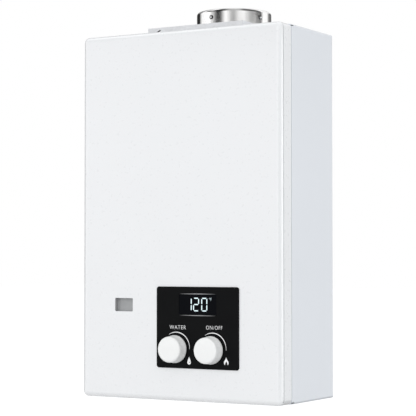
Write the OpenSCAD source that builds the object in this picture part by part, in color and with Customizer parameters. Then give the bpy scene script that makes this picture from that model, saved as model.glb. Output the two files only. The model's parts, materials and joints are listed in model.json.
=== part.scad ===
/* [Casing] */
// Width of the casing
case_w = 344; // [330:1:380]
// Height of the casing, without the flue collar
case_h = 550; // [540:1:620]
// Depth from the wall to the face of the front cover
case_d = 170; // [166:1:190]
// Thickness of the casing sheet
sheet = 1; // [0.8:0.1:1.4]
// Outside radius of the front cover's edges and corners
corner_r = 8; // [6:0.5:12]
// Outside radius of the rear casing's bends
bend_r = 3; // [2:0.5:4]
// Radius of the relief cut at each corner of the rear casing's shoulder
relief_r = 3; // [2:0.5:3]
// Depth of the relief cuts behind the shoulder
relief_d = 8; // [3:0.5:8]
// Depth of the front cover's rim
cover_d = 34; // [28:1:36]
// Open seam between the front cover and the rear casing
seam_gap = 1.2; // [0.8:0.1:2]
// Length of the rear casing's lip inside the front cover
lip_d = 10; // [6:1:14]
// Clearance between the lip and the front cover
lip_clear = 0.3; // [0.2:0.05:0.6]
// Distance of the cover screws from the centre line
cover_screw_x = 110; // [80:1:140]

/* [Wall fixing] */
// Distance of the wall screws from the centre line
wall_x = 150; // [140:1:156]
// Distance of the wall screws from the casing's top and bottom
wall_inset = 30; // [28:1:40]
// Radius of the holes for the wall screws
wall_hole_r = 3.25; // [2.5:0.05:4]

/* [Control panel] */
// Width of the black panel
panel_w = 140; // [136:1:150]
// Height of the black panel
panel_h = 120; // [112:1:124]
// Distance of the panel's middle to the right of the centre line
panel_x = 34; // [28:1:40]
// Height of the panel's lower edge above the casing's bottom
panel_up = 48.5; // [44:0.5:54]
// Thickness of the panel in front of the cover
panel_t = 2; // [1.5:0.1:3]
// Corner radius of the panel
panel_r = 4; // [2:0.5:8]
// Width of the display window
display_w = 64; // [60:0.5:66]
// Distance of the display's middle to the right of the panel's
display_shift = 1; // [0:0.5:2]
// Height of the display window
display_h = 30; // [29:0.5:32]
// Distance of the display's middle below the panel's upper edge
display_drop = 26; // [24:0.5:28]
// Depth of the display lens behind the panel's face
lens_set = 0.6; // [0.3:0.1:0.8]
// Thickness of the display lens
lens_t = 1.5; // [1:0.1:2]

/* [Knobs] */
// Radius of a knob at its skirt
knob_r = 20.5; // [18:0.1:22]
// Radius of a knob at the front, before its rounded edge
knob_front_r = 19.1; // [16:0.1:20]
// Height of a knob
knob_h = 19; // [15:0.5:21]
// Height of both knobs' axes above the casing's bottom
knob_up = 76.5; // [73:0.5:78]
// Distance of the water knob's axis from the centre line
water_x = -3.5; // [-6:0.5:-2]
// Distance of the gas knob's axis from the centre line
gas_x = 58; // [56:0.5:60]
// Radius of a knob's spindle
spindle_r = 3; // [2.5:0.1:3.5]
// Gap between a knob and the panel
knob_gap = 0.8; // [0.5:0.1:1.5]

/* [Sight window] */
// Width of the window in the cover
window_w = 32; // [28:1:36]
// Height of the window in the cover
window_h = 20; // [17:1:24]
// Distance of the window's middle to the left of the centre line
window_x = 95.5; // [90:0.5:105]
// Height of the window's middle above the casing's bottom
window_up = 140.5; // [130:0.5:150]
// Thickness of the glass
glass_t = 3; // [2:0.5:4]
// Depth of the glass behind the sheet of the cover
window_set = 7; // [4:0.5:8]

/* [Flue and fan] */
// Outside radius of the flue collar
collar_r = 57; // [54:0.5:57]
// Sheet thickness of the flue collar
collar_wall = 0.8; // [0.6:0.1:1.2]
// Height of the flue collar above the fan housing
collar_h = 24; // [20:1:40]
// Distance of the flue's axis to the right of the centre line
collar_x = 34; // [32:0.5:35]
// Distance of the flue's axis from the wall
collar_f = 61; // [60:0.5:66]
// Turn of the middle of the front pair of collar screws, to the right of the front
collar_screw_turn = 33; // [0:1:45]
// Angle of each collar screw to the middle of its pair
collar_screw_spread = 40.5; // [30:0.5:45]
// Width of the fan housing
fan_w = 166; // [166:1:172]
// Distance of the fan housing's middle to the right of the centre line
fan_x = 7; // [7:0.5:11]
// Height of the fan housing
fan_h = 118; // [114:1:124]
// Height that the fan housing stands above the casing
fan_proud = 11.5; // [8:0.5:14]
// Radius of the fan wheel
impeller_r = 38; // [34:1:40]
// Length of the fan wheel
impeller_d = 54; // [46:1:58]
// Number of blades on the fan wheel
blade_count = 24; // [16:1:28]
// Radius of the fan shaft
shaft_r = 3; // [2.5:0.1:4]
// Radius of the fan motor
motor_r = 30; // [26:1:32]
// Depth of the fan motor
motor_d = 22; // [18:1:26]

/* [Heat exchanger] */
// Width of the heat exchanger
hx_w = 192; // [186:1:196]
// Room between the heat exchanger and the face of the front cover
front_room = 46; // [46:1:50]
// Distance of the heat exchanger from the wall
hx_back = 24; // [24:1:27]
// Height of the copper jacket
jacket_h = 190; // [176:1:200]
// Thickness of the copper jacket
jacket_t = 1; // [0.6:0.1:1.4]
// Number of fins
fin_count = 30; // [20:1:34]
// Thickness of a fin
fin_t = 0.6; // [0.4:0.1:0.8]
// Height of a fin
fin_h = 56; // [44:1:60]
// Number of straight tubes through the fins
tube_count = 5; // [5]
// Distance of the outer tubes' axes from the heat exchanger's faces
tube_edge = 12; // [10:0.5:13]
// Outside radius of the heat exchanger tubes
tube_r = 7; // [6:0.1:7.5]
// Wall of every copper tube
tube_wall = 0.8; // [0.6:0.1:1]
// Height of the coil round the jacket, above the jacket's lower edge
coil_up = 46; // [40:1:52]

/* [Burners and gas line] */
// Height of the burner tray above the casing's bottom
tray_up = 130; // [128:1:136]
// Height of the burner tray
tray_h = 56; // [52:1:60]
// Number of burners
burner_count = 10; // [8:1:10]
// Distance between two burners
burner_pitch = 17; // [15:0.5:18]
// Thickness of a burner
burner_t = 8; // [6:0.5:10]
// Height of a burner
burner_h = 44; // [36:1:48]
// Outside radius of the gas manifold
manifold_r = 8; // [7:0.5:9]
// Radius of a gas injector
injector_r = 3; // [2.5:0.1:3.5]

/* [Valves and connections] */
// Width of the water valve's block
water_block_w = 36; // [32:1:38]
// Width of the gas valve's block
gas_block_w = 44; // [40:1:46]
// Height of both valve blocks
valve_h = 40; // [38:1:44]
// Depth of both valve blocks
valve_d = 44; // [42:1:48]
// Distance of the upright water and gas lines from the wall
column_f = 78; // [76:1:82]
// Outside radius of the pipe threads
thread_r = 10.4; // [10:0.1:11]
// Length of the pipe threads
thread_len = 21; // [18:1:24]
// Radius of the way through the fittings
way_r = 6.5; // [5:0.1:7]
// Outside radius of the water and gas pipes
pipe_r = 6; // [5:0.1:6.5]
// Bend radius of the pipes, at their axis
pipe_bend = 9; // [8:0.1:9.2]
// Distance of the hot water outlet to the right of the centre line
hot_x = 125; // [122:1:128]
// Width of the connection plate
plate_w = 316; // [300:2:320]
// Sheet thickness of the connection plate
plate_t = 1.5; // [1:0.1:2]
// Height of the connection plate above the casing's bottom
plate_up = 16; // [14:1:18]
// Travel of the gas and water needles each way
needle_travel = 2; // [1:0.5:2.5]
// Travel of the diaphragm and its rod
rod_travel = 3; // [2:0.5:3]
// Travel of the gas solenoid's plunger
plunger_travel = 3; // [2:0.5:4]

/* [Fits] */
// Radial clearance of a turning or sliding pin in its bore
run_fit = 0.05; // [0.03:0.01:0.1]
// Clearance between pieces that are pushed together
seat_fit = 0.2; // [0.1:0.05:0.4]

/* [Hidden] */
$fn = 64;
eps = 0.5;

// Casing planes: heights from the centre of the wall face, depths forward from the wall
z_bottom = -case_h / 2;
z_top = case_h / 2;
shoulder_f = case_d - cover_d;
cover_edge_f = shoulder_f + seam_gap;
lip_f = cover_edge_f + lip_d;
lip_w = case_w - 2 * (sheet + lip_clear);
lip_h = case_h - 2 * (sheet + lip_clear);
lip_r = corner_r - sheet - lip_clear;
cover_screw_f = cover_edge_f + lip_d / 2;
cover_screw_r = 2;
cover_screw_len = 8;
screw_head_h = 1.2;

// Control panel
panel_z = z_bottom + panel_up + panel_h / 2;
panel_f = case_d + panel_t;
panel_lap = 4;
panel_frame_d = 8;
panel_frame_t = 2;
panel_open_w = panel_w - 2 * panel_lap;
panel_open_h = panel_h - 2 * panel_lap;
display_z = panel_z + panel_h / 2 - display_drop;
display_r = 1.5;
lens_f = panel_f - lens_set - lens_t;
module_d = 10;
glass_f = case_d - sheet - window_set;
display_x = panel_x + display_shift;
module_w = display_w - 2;
module_h = display_h - 2;
board_f = lens_f - module_d;
board_t = 1.6;
board_w = display_w + 40;
board_h = display_h + 10;
post_r = 3;
post_x = board_w / 2 - 5;
post_y = board_h / 2 - 5;
post_hole_r = 1.2;
post_hole_d = 6;

// Knobs and spindles
knob_z = z_bottom + knob_up;
knob_f = panel_f + knob_gap;
knob_edge_r = 2.5;
knob_skirt_h = 3;
knob_wall = 2;
knob_hub_r = 6;
knob_bore_d = knob_h - 4;
spindle_flat = 0.8;
spindle_hole_r = spindle_r + 0.8;

// Valve blocks, with the needle chamber behind the spindle
valve_f = column_f - 12;
valve_front_f = valve_f + valve_d;
bonnet_r = 10;
bonnet_d = 12;
passage_r = 5;
needle_r = 5;
needle_len = 20;
needle_f = column_f;
chamber_f = valve_f + 4;
chamber_front_f = needle_f + needle_len + needle_travel + 2;
nose_r = 2.5;
nose_f = needle_f + needle_len - needle_travel - 4;
clip_r = spindle_r + 2.5;
clip_t = 1;
valve_bottom_z = knob_z - valve_h / 2;
valve_top_z = knob_z + valve_h / 2;

// Diaphragm, linkage rod and gas solenoid
rod_f = valve_front_f - 12;
rod_z0 = knob_z - 12;
rod_r = 2.5;
cup_r = 20;
cup_rim = 2;
cup_floor = 1;
cup_d = 6;
cover_floor = 2;
cup_x = water_x + water_block_w / 2;
gas_face_x = gas_x - gas_block_w / 2;
diaphragm_t = 2;
diaphragm_x = cup_x + cup_floor + 1.5;
rod_reach = 12;
solenoid_x = gas_x + gas_block_w / 2;
solenoid_f = valve_front_f - 14;
solenoid_z = knob_z + 6;
solenoid_r = 14;
solenoid_len = 30;
plunger_r = 4;
plunger_len = 20;
plunger_gap = 0.3;
port_r = 3;

// Connections through the plate in the casing's bottom
plate_z = z_bottom + plate_up;
plate_top_z = plate_z + plate_t;
plate_f = 24;
plate_front_f = shoulder_f - 14;
foot_w = 6;
neck_r = thread_r - 0.4;
hex_r = 15;
hex_h = 9;
fitting_r = 9;
hot_top_z = plate_top_z + hex_h + 10;
drain_x = water_x - water_block_w / 2 - 14;
drain_r = 5;
drain_cap_r = 8;
drain_cap_h = 10;
drain_arm_h = 16;
drain_depth = 12;
gland_x = 43 - plate_w / 2;
gland_r = 8;
gland_bore_r = 3.5;
slot_count = 4;
slot_w = 6;
slot_len = plate_front_f - plate_f - 40;
slot_pitch = 12;
slot_x = gland_x + 15;

// Fan, flue and hood
fan_left = fan_x - fan_w / 2;
fan_right = fan_x + fan_w / 2;
fan_f = sheet + 1;
fan_front_f = shoulder_f - 2;
fan_top_z = z_top + fan_proud;
fan_bottom_z = fan_top_z - fan_h;
fan_open = 0.6;
wheel_x = fan_x - 22;
wheel_z = fan_bottom_z + fan_h / 2;
collar_z = fan_top_z + collar_h;
collar_flange = 4.5;
collar_bead = 0.8;
collar_bead_h = 2;
scroll_t = 1;
scroll_f = (fan_f + fan_front_f) / 2 - 4;
scroll_start = 60;
scroll_gap = 6;
scroll_grow = 18;
scroll_step = 6;
inlet_r = 30;
wheel_front_f = fan_front_f - sheet - 5;
wheel_f = wheel_front_f - impeller_d;
wheel_disc = 2;
hub_len = 16;
hub_r = 8;
blade_t = 1;
blade_len = 10;
shaft_bore_d = 16;
hood_hole_w = 100;
hood_hole_d = 30;
hood_hole_f = hx_back + 4;
hood_top_w = 140;
switch_r = 18;
switch_t = 14;
tab_slot_in = 18;
tab_slot_drop = 6.2;
tab_slot_w = 10;
tab_slot_h = 2;

// Heat exchanger
hx_d = case_d - hx_back - front_room;
tube_pitch = (hx_d - 2 * tube_edge) / (tube_count - 1);
hx_front_f = hx_back + hx_d;
hx_mid_f = hx_back + hx_d / 2;
tray_z = z_bottom + tray_up;
jacket_z = tray_z + tray_h;
jacket_top_z = jacket_z + jacket_h;
fin_z = jacket_top_z - 4 - fin_h;
fin_d = hx_d - 2 * jacket_t - 2;
fin_pitch = (hx_w - 2 * jacket_t - 8) / fin_count;
tube_z = fin_z + fin_h / 2;
tube_stub = 4;
tube_end = hx_w / 2 + tube_stub;
coil_z = jacket_z + coil_up;
coil_gap = 0.95;
thermostat_x = hx_w / 4;
thermostat_drop = 76;
thermostat_r = 9;
thermostat_h = 10;
thermostat_tab = 8;
coil_x = hx_w / 2 + coil_gap + pipe_r;
coil_front_f = hx_front_f + coil_gap + pipe_r;
coil_back_f = hx_back - coil_gap - pipe_r;
coil_out_x = tube_end + pipe_bend + pipe_r;
riser_z = coil_z - pipe_bend - 6;
first_tube_f = hx_mid_f - (tube_count - 1) / 2 * tube_pitch;
last_tube_f = hx_mid_f + (tube_count - 1) / 2 * tube_pitch;
hot_elbow_z = hot_top_z + pipe_bend + 8;
run_z = valve_top_z + pipe_bend + 8;

// Burners, gas manifold and electrodes
manifold_z = tray_z + 14;
manifold_f = hx_front_f + 4 + manifold_r;
manifold_wall = 1.5;
manifold_half = burner_pitch * (burner_count - 1) / 2 + 10;
manifold_boss = 4;
ear_x = manifold_half - 4;
ear_w = 4;
injector_gap = 1.5;
venturi_r = 6;
electrode_r = 4;
electrode_flange_r = 7;
electrode_flange_t = 2;
electrode_z = jacket_z + 12;
electrode_x = -40;
sensor_x = 20;
strap_w = 120;
strap_h = 16;
strap_t = 1.5;
strap_low = 10;
strap_high = 90;
pin_len = 28;
pin_r = 1.2;
ceramic_in = 12;
ceramic_out = 16;
terminal_len = 8;
terminal_r = 1.5;

// Electronics on the casing's back
controller_w = 90;
controller_d = 43;
controller_side = 30;
controller_gap = 10;
header_count = 4;
header_w = 12;
header_d = 14;
header_h = 8;
header_pitch = 20;
igniter_w = 54;
igniter_d = 27;
igniter_h = 50;
igniter_side = 26;
igniter_up = 60;
igniter_pin_pitch = 26;
igniter_pin_r = 4;
igniter_pin_h = 10;

// Depth forward from the wall is measured along -Y
function at(x, f, z) = [x, -f, z];
function unit(v) = v / norm(v);
function burner_x(i) = (i - (burner_count - 1) / 2) * burner_pitch;
function tube_f(i) = first_tube_f + i * tube_pitch;

// Rounded rectangle about the origin
module rounded(w, h, r) {
  square([w - 2 * r, h], center = true);
  square([w, h - 2 * r], center = true);
  for (x = [-1, 1], y = [-1, 1])
    translate([x * (w / 2 - r), y * (h / 2 - r)])
      circle(r);
}

// Front-view outline carried from depth f0 to depth f1
module forward(f0, f1) {
  translate(at(0, f0, 0))
    rotate([90, 0, 0])
      linear_extrude(f1 - f0)
        children();
}

// Box between two limits in width, depth and height
module block(x, f, z) {
  translate(at(x[0], f[1], z[0]))
    cube([x[1] - x[0], f[1] - f[0], z[1] - z[0]]);
}

module rod_x(x0, x1, f, z, r) {
  translate(at(x0, f, z))
    rotate([0, 90, 0])
      cylinder(r = r, h = x1 - x0);
}

module rod_y(x, z, f0, f1, r) {
  translate(at(x, f0, z))
    rotate([90, 0, 0])
      cylinder(r = r, h = f1 - f0);
}

module rod_z(x, f, z0, z1, r) {
  translate(at(x, f, z0))
    cylinder(r = r, h = z1 - z0);
}

// Places a shape that stands on +Z so that it points along the unit vector d
module pointing(p, d) {
  side = abs(d.z) < 0.5 ? [0, 0, 1] : [1, 0, 0];
  u = unit(cross(side, d));
  v = cross(d, u);
  multmatrix([[u.x, v.x, d.x, p.x], [u.y, v.y, d.y, p.y], [u.z, v.z, d.z, p.z], [0, 0, 0, 1]])
    children();
}

module tube_section(r) {
  difference() {
    circle(r);
    circle(r - tube_wall);
  }
}

// Quarter bend at a corner, from direction d to direction e
module tube_bend(corner, d, e, r) {
  c = corner - pipe_bend * d + pipe_bend * e;
  n = cross(-e, d);
  multmatrix([[-e.x, d.x, n.x, c.x], [-e.y, d.y, n.y, c.y], [-e.z, d.z, n.z, c.z], [0, 0, 0, 1]])
    rotate_extrude(angle = 90)
      translate([pipe_bend, 0])
        tube_section(r);
}

// Copper pipe along a square-cornered route, with a bend at each corner
module pipe(route, r) {
  last = len(route) - 1;
  ways = [for (i = [0 : last - 1]) unit(route[i + 1] - route[i])];
  for (i = [0 : last - 1]) {
    a = route[i] + (i == 0 ? 0 : pipe_bend) * ways[i];
    b = route[i + 1] - (i == last - 1 ? 0 : pipe_bend) * ways[i];
    pointing(a, ways[i])
      linear_extrude(norm(b - a))
        tube_section(r);
  }
  for (i = [1 : last - 1])
    tube_bend(route[i], ways[i - 1], ways[i], r);
}

// Screw that points along -Z from the underside of its head at z = 0
module screw(r, len, head_r, head_h) {
  cylinder(r = head_r, h = head_h);
  translate([0, 0, -len])
    cylinder(r = r, h = len);
}

// Places its children at each wall screw hole, on the wall's face
module at_wall_holes() {
  for (x = [-wall_x, wall_x], side = [-1, 1])
    translate([x, 0, side * (case_h / 2 - wall_inset)])
      children();
}

// Solid form of the front cover, drawn in by the sheet for its inside
module cover_form(inset) {
  r = corner_r - inset;
  w = case_w - 2 * inset;
  h = case_h - 2 * inset;
  front_f = case_d - inset;
  back_f = inset > 0 ? cover_edge_f - eps : cover_edge_f;
  intersection() {
    forward(back_f, front_f)
      rounded(w, h, r);
    rotate([90, 0, 90])
      linear_extrude(w, center = true)
        rounded(2 * front_f, h, r);
    linear_extrude(h, center = true)
      rounded(w, 2 * front_f, r);
  }
}

// Solid form of the rear casing behind its shoulder, drawn in by the sheet for its inside
module casing_form(inset) {
  r = bend_r - inset;
  w = case_w - 2 * inset;
  h = case_h - 2 * inset;
  half_d = shoulder_f - inset;
  intersection() {
    forward(inset, shoulder_f - inset)
      rounded(w, h, r);
    translate(at(0, shoulder_f, 0))
      rotate([90, 0, 90])
        linear_extrude(w, center = true)
          rounded(2 * half_d, h, r);
    translate(at(0, shoulder_f, 0))
      linear_extrude(h, center = true)
        rounded(w, 2 * half_d, r);
  }
}

module at_cover_screws() {
  for (x = [-cover_screw_x, cover_screw_x])
    translate(at(x, cover_screw_f, z_bottom))
      children();
}

module rear_casing() {
  foot_x = plate_w / 2 - plate_t - foot_w;
  color("gainsboro")
    difference() {
      union() {
        casing_form(0);
        forward(shoulder_f, lip_f)
          rounded(lip_w, lip_h, lip_r);
      }
      casing_form(sheet);
      forward(shoulder_f - sheet - eps, lip_f + eps)
        rounded(lip_w - 2 * sheet, lip_h - 2 * sheet, lip_r - sheet);
      block([fan_left - fan_open, fan_right + fan_open], [fan_f - fan_open, fan_front_f + fan_open],
        [z_top - bend_r, z_top + eps]);
      for (x = [-1, 1], z = [-1, 1])
        rod_y(x * case_w / 2, z * case_h / 2, shoulder_f - relief_d, shoulder_f + eps, relief_r);
      block([-foot_x, foot_x], [plate_f + foot_w, plate_front_f - foot_w],
        [z_bottom - eps, z_bottom + sheet + eps]);
      at_wall_holes()
        rod_y(0, 0, -eps, sheet + eps, wall_hole_r);
      at_cover_screws()
        cylinder(r = cover_screw_r, h = 8 * sheet, center = true);
    }
}

module front_cover() {
  color("whitesmoke")
    difference() {
      cover_form(0);
      cover_form(sheet);
      forward(case_d - 3 * sheet, case_d + eps)
        translate([panel_x, panel_z])
          rounded(panel_open_w, panel_open_h, panel_r);
      forward(case_d - 3 * sheet, case_d + eps)
        translate([-window_x, z_bottom + window_up])
          rounded(window_w, window_h, display_r);
      at_cover_screws()
        cylinder(r = cover_screw_r + seat_fit, h = 3 * sheet, center = true);
    }
}

module cover_screws() {
  color("silver")
    at_cover_screws()
      mirror([0, 0, 1])
        screw(cover_screw_r - run_fit, cover_screw_len, 2 * cover_screw_r, screw_head_h);
}

// Raised plate that carries the pipe connections over the opening in the casing's bottom
module connection_plate() {
  half = plate_w / 2;
  color("lightgray")
    difference() {
      union() {
        block([-half, half], [plate_f, plate_front_f], [plate_z, plate_top_z]);
        for (x = [-half, half - plate_t])
          block([x, x + plate_t], [plate_f, plate_front_f], [z_bottom + sheet, plate_z]);
      }
      for (x = [water_x, gas_x, hot_x])
        rod_z(x, column_f, plate_z - eps, plate_top_z + eps, thread_r + seat_fit);
      rod_z(drain_x, column_f, plate_z - eps, plate_top_z + eps, drain_r + 2 * seat_fit);
      rod_z(gland_x, column_f, plate_z - eps, plate_top_z + eps, gland_r + seat_fit);
      for (i = [0 : slot_count - 1])
        block([slot_x + (i + 1) * slot_pitch - slot_w / 2, slot_x + (i + 1) * slot_pitch + slot_w / 2],
          [column_f - slot_len / 2, column_f + slot_len / 2], [plate_z - eps, plate_top_z + eps]);
    }
}

// Places its children at each post of the display board
module at_posts() {
  for (x = [-post_x, post_x], z = [-post_y, post_y])
    translate([display_x + x, 0, display_z + z])
      children();
}

module control_panel() {
  frame_w = panel_open_w - 2 * seat_fit;
  frame_h = panel_open_h - 2 * seat_fit;
  color("black")
    difference() {
      union() {
        forward(case_d, panel_f)
          translate([panel_x, panel_z])
            rounded(panel_w, panel_h, panel_r);
        forward(case_d - panel_frame_d, case_d)
          translate([panel_x, panel_z])
            difference() {
              rounded(frame_w, frame_h, panel_r);
              square([frame_w - 2 * panel_frame_t, frame_h - 2 * panel_frame_t], center = true);
            }
        at_posts()
          rod_y(0, 0, board_f + board_t, case_d, post_r);
      }
      forward(case_d - eps, panel_f + eps)
        translate([display_x, display_z])
          rounded(display_w, display_h, display_r);
      for (x = [water_x, gas_x])
        rod_y(x, knob_z, case_d - eps, panel_f + eps, spindle_hole_r);
      at_posts()
        rod_y(0, 0, board_f, board_f + board_t + post_hole_d, post_hole_r);
    }
}

module display_lens() {
  color("dimgray")
    forward(lens_f, lens_f + lens_t)
      translate([display_x, display_z])
        rounded(display_w - 2 * seat_fit, display_h - 2 * seat_fit, display_r - seat_fit);
}

module display_module() {
  color("black")
    block([display_x - module_w / 2, display_x + module_w / 2], [board_f + board_t, lens_f],
      [display_z - module_h / 2, display_z + module_h / 2]);
}

module display_board() {
  color("darkgreen")
    difference() {
      block([display_x - board_w / 2, display_x + board_w / 2], [board_f, board_f + board_t],
        [display_z - board_h / 2, display_z + board_h / 2]);
      at_posts()
        rod_y(0, 0, board_f - eps, board_f + board_t + eps, post_hole_r + seat_fit);
    }
}

module display_screws() {
  color("silver")
    at_posts()
      translate(at(0, board_f, 0))
        rotate([-90, 0, 0])
          screw(post_hole_r - run_fit, board_t + post_hole_d - 1, 2 * post_hole_r, screw_head_h);
}

// Half section of a knob: skirt, sloping side, round edge and slightly domed front
module knob_section() {
  crown = 0.6;
  edge_z = knob_h - crown - knob_edge_r;
  edge = [for (a = [0 : 15 : 90])
    [knob_front_r - knob_edge_r + knob_edge_r * cos(a), edge_z + knob_edge_r * sin(a)]];
  polygon(concat([[0, 0], [knob_r, 0], [knob_r, knob_skirt_h]], edge,
    [[knob_front_r / 2, knob_h - crown / 4], [0, knob_h]]));
}

// Spindle end with its flat, widened by a clearance
module spindle_end(len, clear) {
  difference() {
    cylinder(r = spindle_r + clear, h = len);
    translate([-2 * spindle_r, spindle_r - spindle_flat + clear, -eps])
      cube([4 * spindle_r, spindle_r, len + 2 * eps]);
  }
}

module knob(x) {
  translate(at(x, knob_f, knob_z))
    rotate([90, 0, 0])
      difference() {
        rotate_extrude()
          knob_section();
        difference() {
          translate([0, 0, -eps])
            cylinder(r = knob_r - knob_wall, h = knob_skirt_h + eps);
          translate([0, 0, -eps])
            cylinder(r = knob_hub_r, h = knob_skirt_h + 2 * eps);
        }
        spindle_end(knob_bore_d, run_fit);
      }
}

module water_knob() {
  color("white")
    knob(water_x);
}

module gas_knob() {
  color("white")
    knob(gas_x);
}

// Knob spindle: screw nose in the needle, journal in the bonnet, clip and flatted end
module spindle(x) {
  bonnet_f = valve_front_f + bonnet_d;
  end_f = knob_f + knob_bore_d - 0.5;
  rod_y(x, knob_z, nose_f, chamber_front_f, nose_r);
  rod_y(x, knob_z, chamber_front_f, knob_f, spindle_r);
  rod_y(x, knob_z, bonnet_f + seat_fit, bonnet_f + seat_fit + clip_t, clip_r);
  translate(at(x, knob_f, knob_z))
    rotate([90, 0, 0])
      spindle_end(end_f - knob_f, 0);
}

module water_spindle() {
  color("goldenrod")
    spindle(water_x);
}

module gas_spindle() {
  color("goldenrod")
    spindle(gas_x);
}

module sight_glass() {
  color("darkgray")
    forward(glass_f - glass_t, glass_f)
      translate([-window_x, z_bottom + window_up])
        rounded(window_w + 8, window_h + 8, display_r);
}

// Sleeve behind the window in the cover, with the glass pressed into its back
module sight_glass_frame() {
  rim = 3;
  color("dimgray")
    translate([-window_x, 0, z_bottom + window_up])
      difference() {
        forward(glass_f - glass_t, case_d - sheet)
          square([window_w + 8 + 2 * rim, window_h + 8 + 2 * rim], center = true);
        forward(glass_f - glass_t - eps, glass_f)
          rounded(window_w + 8 + 2 * seat_fit, window_h + 8 + 2 * seat_fit, display_r);
        forward(glass_f - eps, case_d - sheet + eps)
          square([window_w, window_h], center = true);
      }
}

// Stainless ring with a base flange turned inward and a beaded rim
module flue_collar() {
  wall_in = collar_r - collar_wall;
  color("silver")
    difference() {
      translate(at(collar_x, collar_f, fan_top_z))
        rotate_extrude()
          polygon([
            [wall_in - collar_flange, 0], [collar_r, 0], [collar_r, collar_h - collar_bead_h],
            [collar_r + collar_bead, collar_h - collar_bead_h], [collar_r + collar_bead, collar_h],
            [wall_in, collar_h], [wall_in, collar_wall], [wall_in - collar_flange, collar_wall]
          ]);
      at_collar_screws()
        cylinder(r = cover_screw_r, h = 4, center = true);
    }
}

// Places its children on the collar's outside, pointing outward
module at_collar_screws() {
  for (pair = [0, 180], side = [-1, 1])
    translate(at(collar_x, collar_f, fan_top_z + collar_h / 2))
      rotate([0, 0, collar_screw_turn + pair + side * collar_screw_spread - 90])
        translate([collar_r, 0, 0])
          rotate([0, 90, 0])
            children();
}

module flue_collar_screws() {
  color("gray")
    difference() {
      at_collar_screws()
        screw(cover_screw_r - run_fit, collar_wall, 3.2, 2);
      rod_z(collar_x, collar_f, fan_top_z, collar_z, collar_r - collar_wall);
    }
}

module hood_hole(z0, z1) {
  block([fan_x - hood_hole_w / 2, fan_x + hood_hole_w / 2],
    [hood_hole_f, hood_hole_f + hood_hole_d], [z0, z1]);
}

// Sheet box round the fan, which stands up through the casing's top and carries the collar
module fan_housing() {
  color("lightgray")
    difference() {
      block([fan_left, fan_right], [fan_f, fan_front_f], [fan_bottom_z, fan_top_z]);
      block([fan_left + sheet, fan_right - sheet], [fan_f + sheet, fan_front_f - sheet],
        [fan_bottom_z + sheet, fan_top_z - sheet]);
      rod_z(collar_x, collar_f, fan_top_z - 2 * sheet, fan_top_z + eps,
        collar_r - collar_wall - collar_flange);
      rod_y(wheel_x, wheel_z, fan_front_f - 2 * sheet, fan_front_f + eps, 2 * shaft_r);
      hood_hole(fan_bottom_z - eps, fan_bottom_z + sheet + eps);
      translate([fan_left + tab_slot_in, 0, fan_top_z - tab_slot_drop])
        rotate([0, -27, 0])
          block([-tab_slot_w / 2, tab_slot_w / 2], [fan_front_f - 2 * sheet, fan_front_f + eps],
            [-tab_slot_h / 2, tab_slot_h / 2]);
    }
}

function scroll_r(a) =
  impeller_r + scroll_gap + scroll_grow * (a - scroll_start) / (360 - scroll_start);

function scroll_point(a, out) =
  [wheel_x + (scroll_r(a) + out) * cos(a), wheel_z + (scroll_r(a) + out) * sin(a)];

// Spiral wall with an upright outlet, on a back plate with the inlet hole
module fan_scroll() {
  plate_x = fan_w / 2 - sheet - seat_fit;
  low_z = fan_bottom_z + sheet + seat_fit;
  high_z = fan_top_z - sheet - seat_fit;
  tongue_x = scroll_point(scroll_start, 0).x;
  outlet_x = scroll_point(360, 0).x;
  inner = [for (a = [scroll_start : scroll_step : 360]) scroll_point(a, 0)];
  outer = [for (a = [360 : -scroll_step : scroll_start + scroll_step]) scroll_point(a, scroll_t)];
  color("lightgray") {
    difference() {
      block([fan_x - plate_x, fan_x + plate_x], [scroll_f, scroll_f + sheet], [low_z, high_z]);
      rod_y(wheel_x, wheel_z, scroll_f - eps, scroll_f + sheet + eps, inlet_r);
    }
    forward(scroll_f + sheet, fan_front_f - sheet - seat_fit)
      polygon(concat([[tongue_x, high_z]], inner, [[outlet_x, high_z], [outlet_x + scroll_t, high_z]],
        outer, [[tongue_x - scroll_t, high_z]]));
  }
}

// Squirrel-cage wheel: front disc with its hub, blades and rear ring
module fan_impeller() {
  color("silver")
    difference() {
      union() {
        rod_y(wheel_x, wheel_z, wheel_front_f - wheel_disc, wheel_front_f, impeller_r);
        rod_y(wheel_x, wheel_z, wheel_front_f - hub_len, wheel_front_f, hub_r);
        forward(wheel_f, wheel_f + wheel_disc)
          translate([wheel_x, wheel_z])
            difference() {
              circle(impeller_r);
              circle(impeller_r - blade_len);
            }
        forward(wheel_f + wheel_disc, wheel_front_f - wheel_disc)
          translate([wheel_x, wheel_z])
            for (i = [0 : blade_count - 1])
              rotate(360 / blade_count * i)
                translate([impeller_r - blade_len / 2 - 1, 0])
                  rotate(25)
                    square([blade_len - 3, blade_t], center = true);
      }
      rod_y(wheel_x, wheel_z, wheel_f - eps, wheel_front_f + eps, shaft_r);
    }
}

module fan_shaft() {
  color("silver")
    rod_y(wheel_x, wheel_z, wheel_front_f - hub_len, fan_front_f + shaft_bore_d - 1, shaft_r);
}

module fan_motor() {
  color("dimgray")
    difference() {
      union() {
        rod_y(wheel_x, wheel_z, fan_front_f, fan_front_f + motor_d, motor_r);
        rod_y(wheel_x, wheel_z, fan_front_f + motor_d, fan_front_f + motor_d + 4, motor_r / 2);
        for (side = [-1, 1])
          block([wheel_x + side * motor_r - 8, wheel_x + side * motor_r + 8],
            [fan_front_f, fan_front_f + 3], [wheel_z - 7, wheel_z + 7]);
      }
      rod_y(wheel_x, wheel_z, fan_front_f - eps, fan_front_f + shaft_bore_d, shaft_r + run_fit);
    }
}

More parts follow.
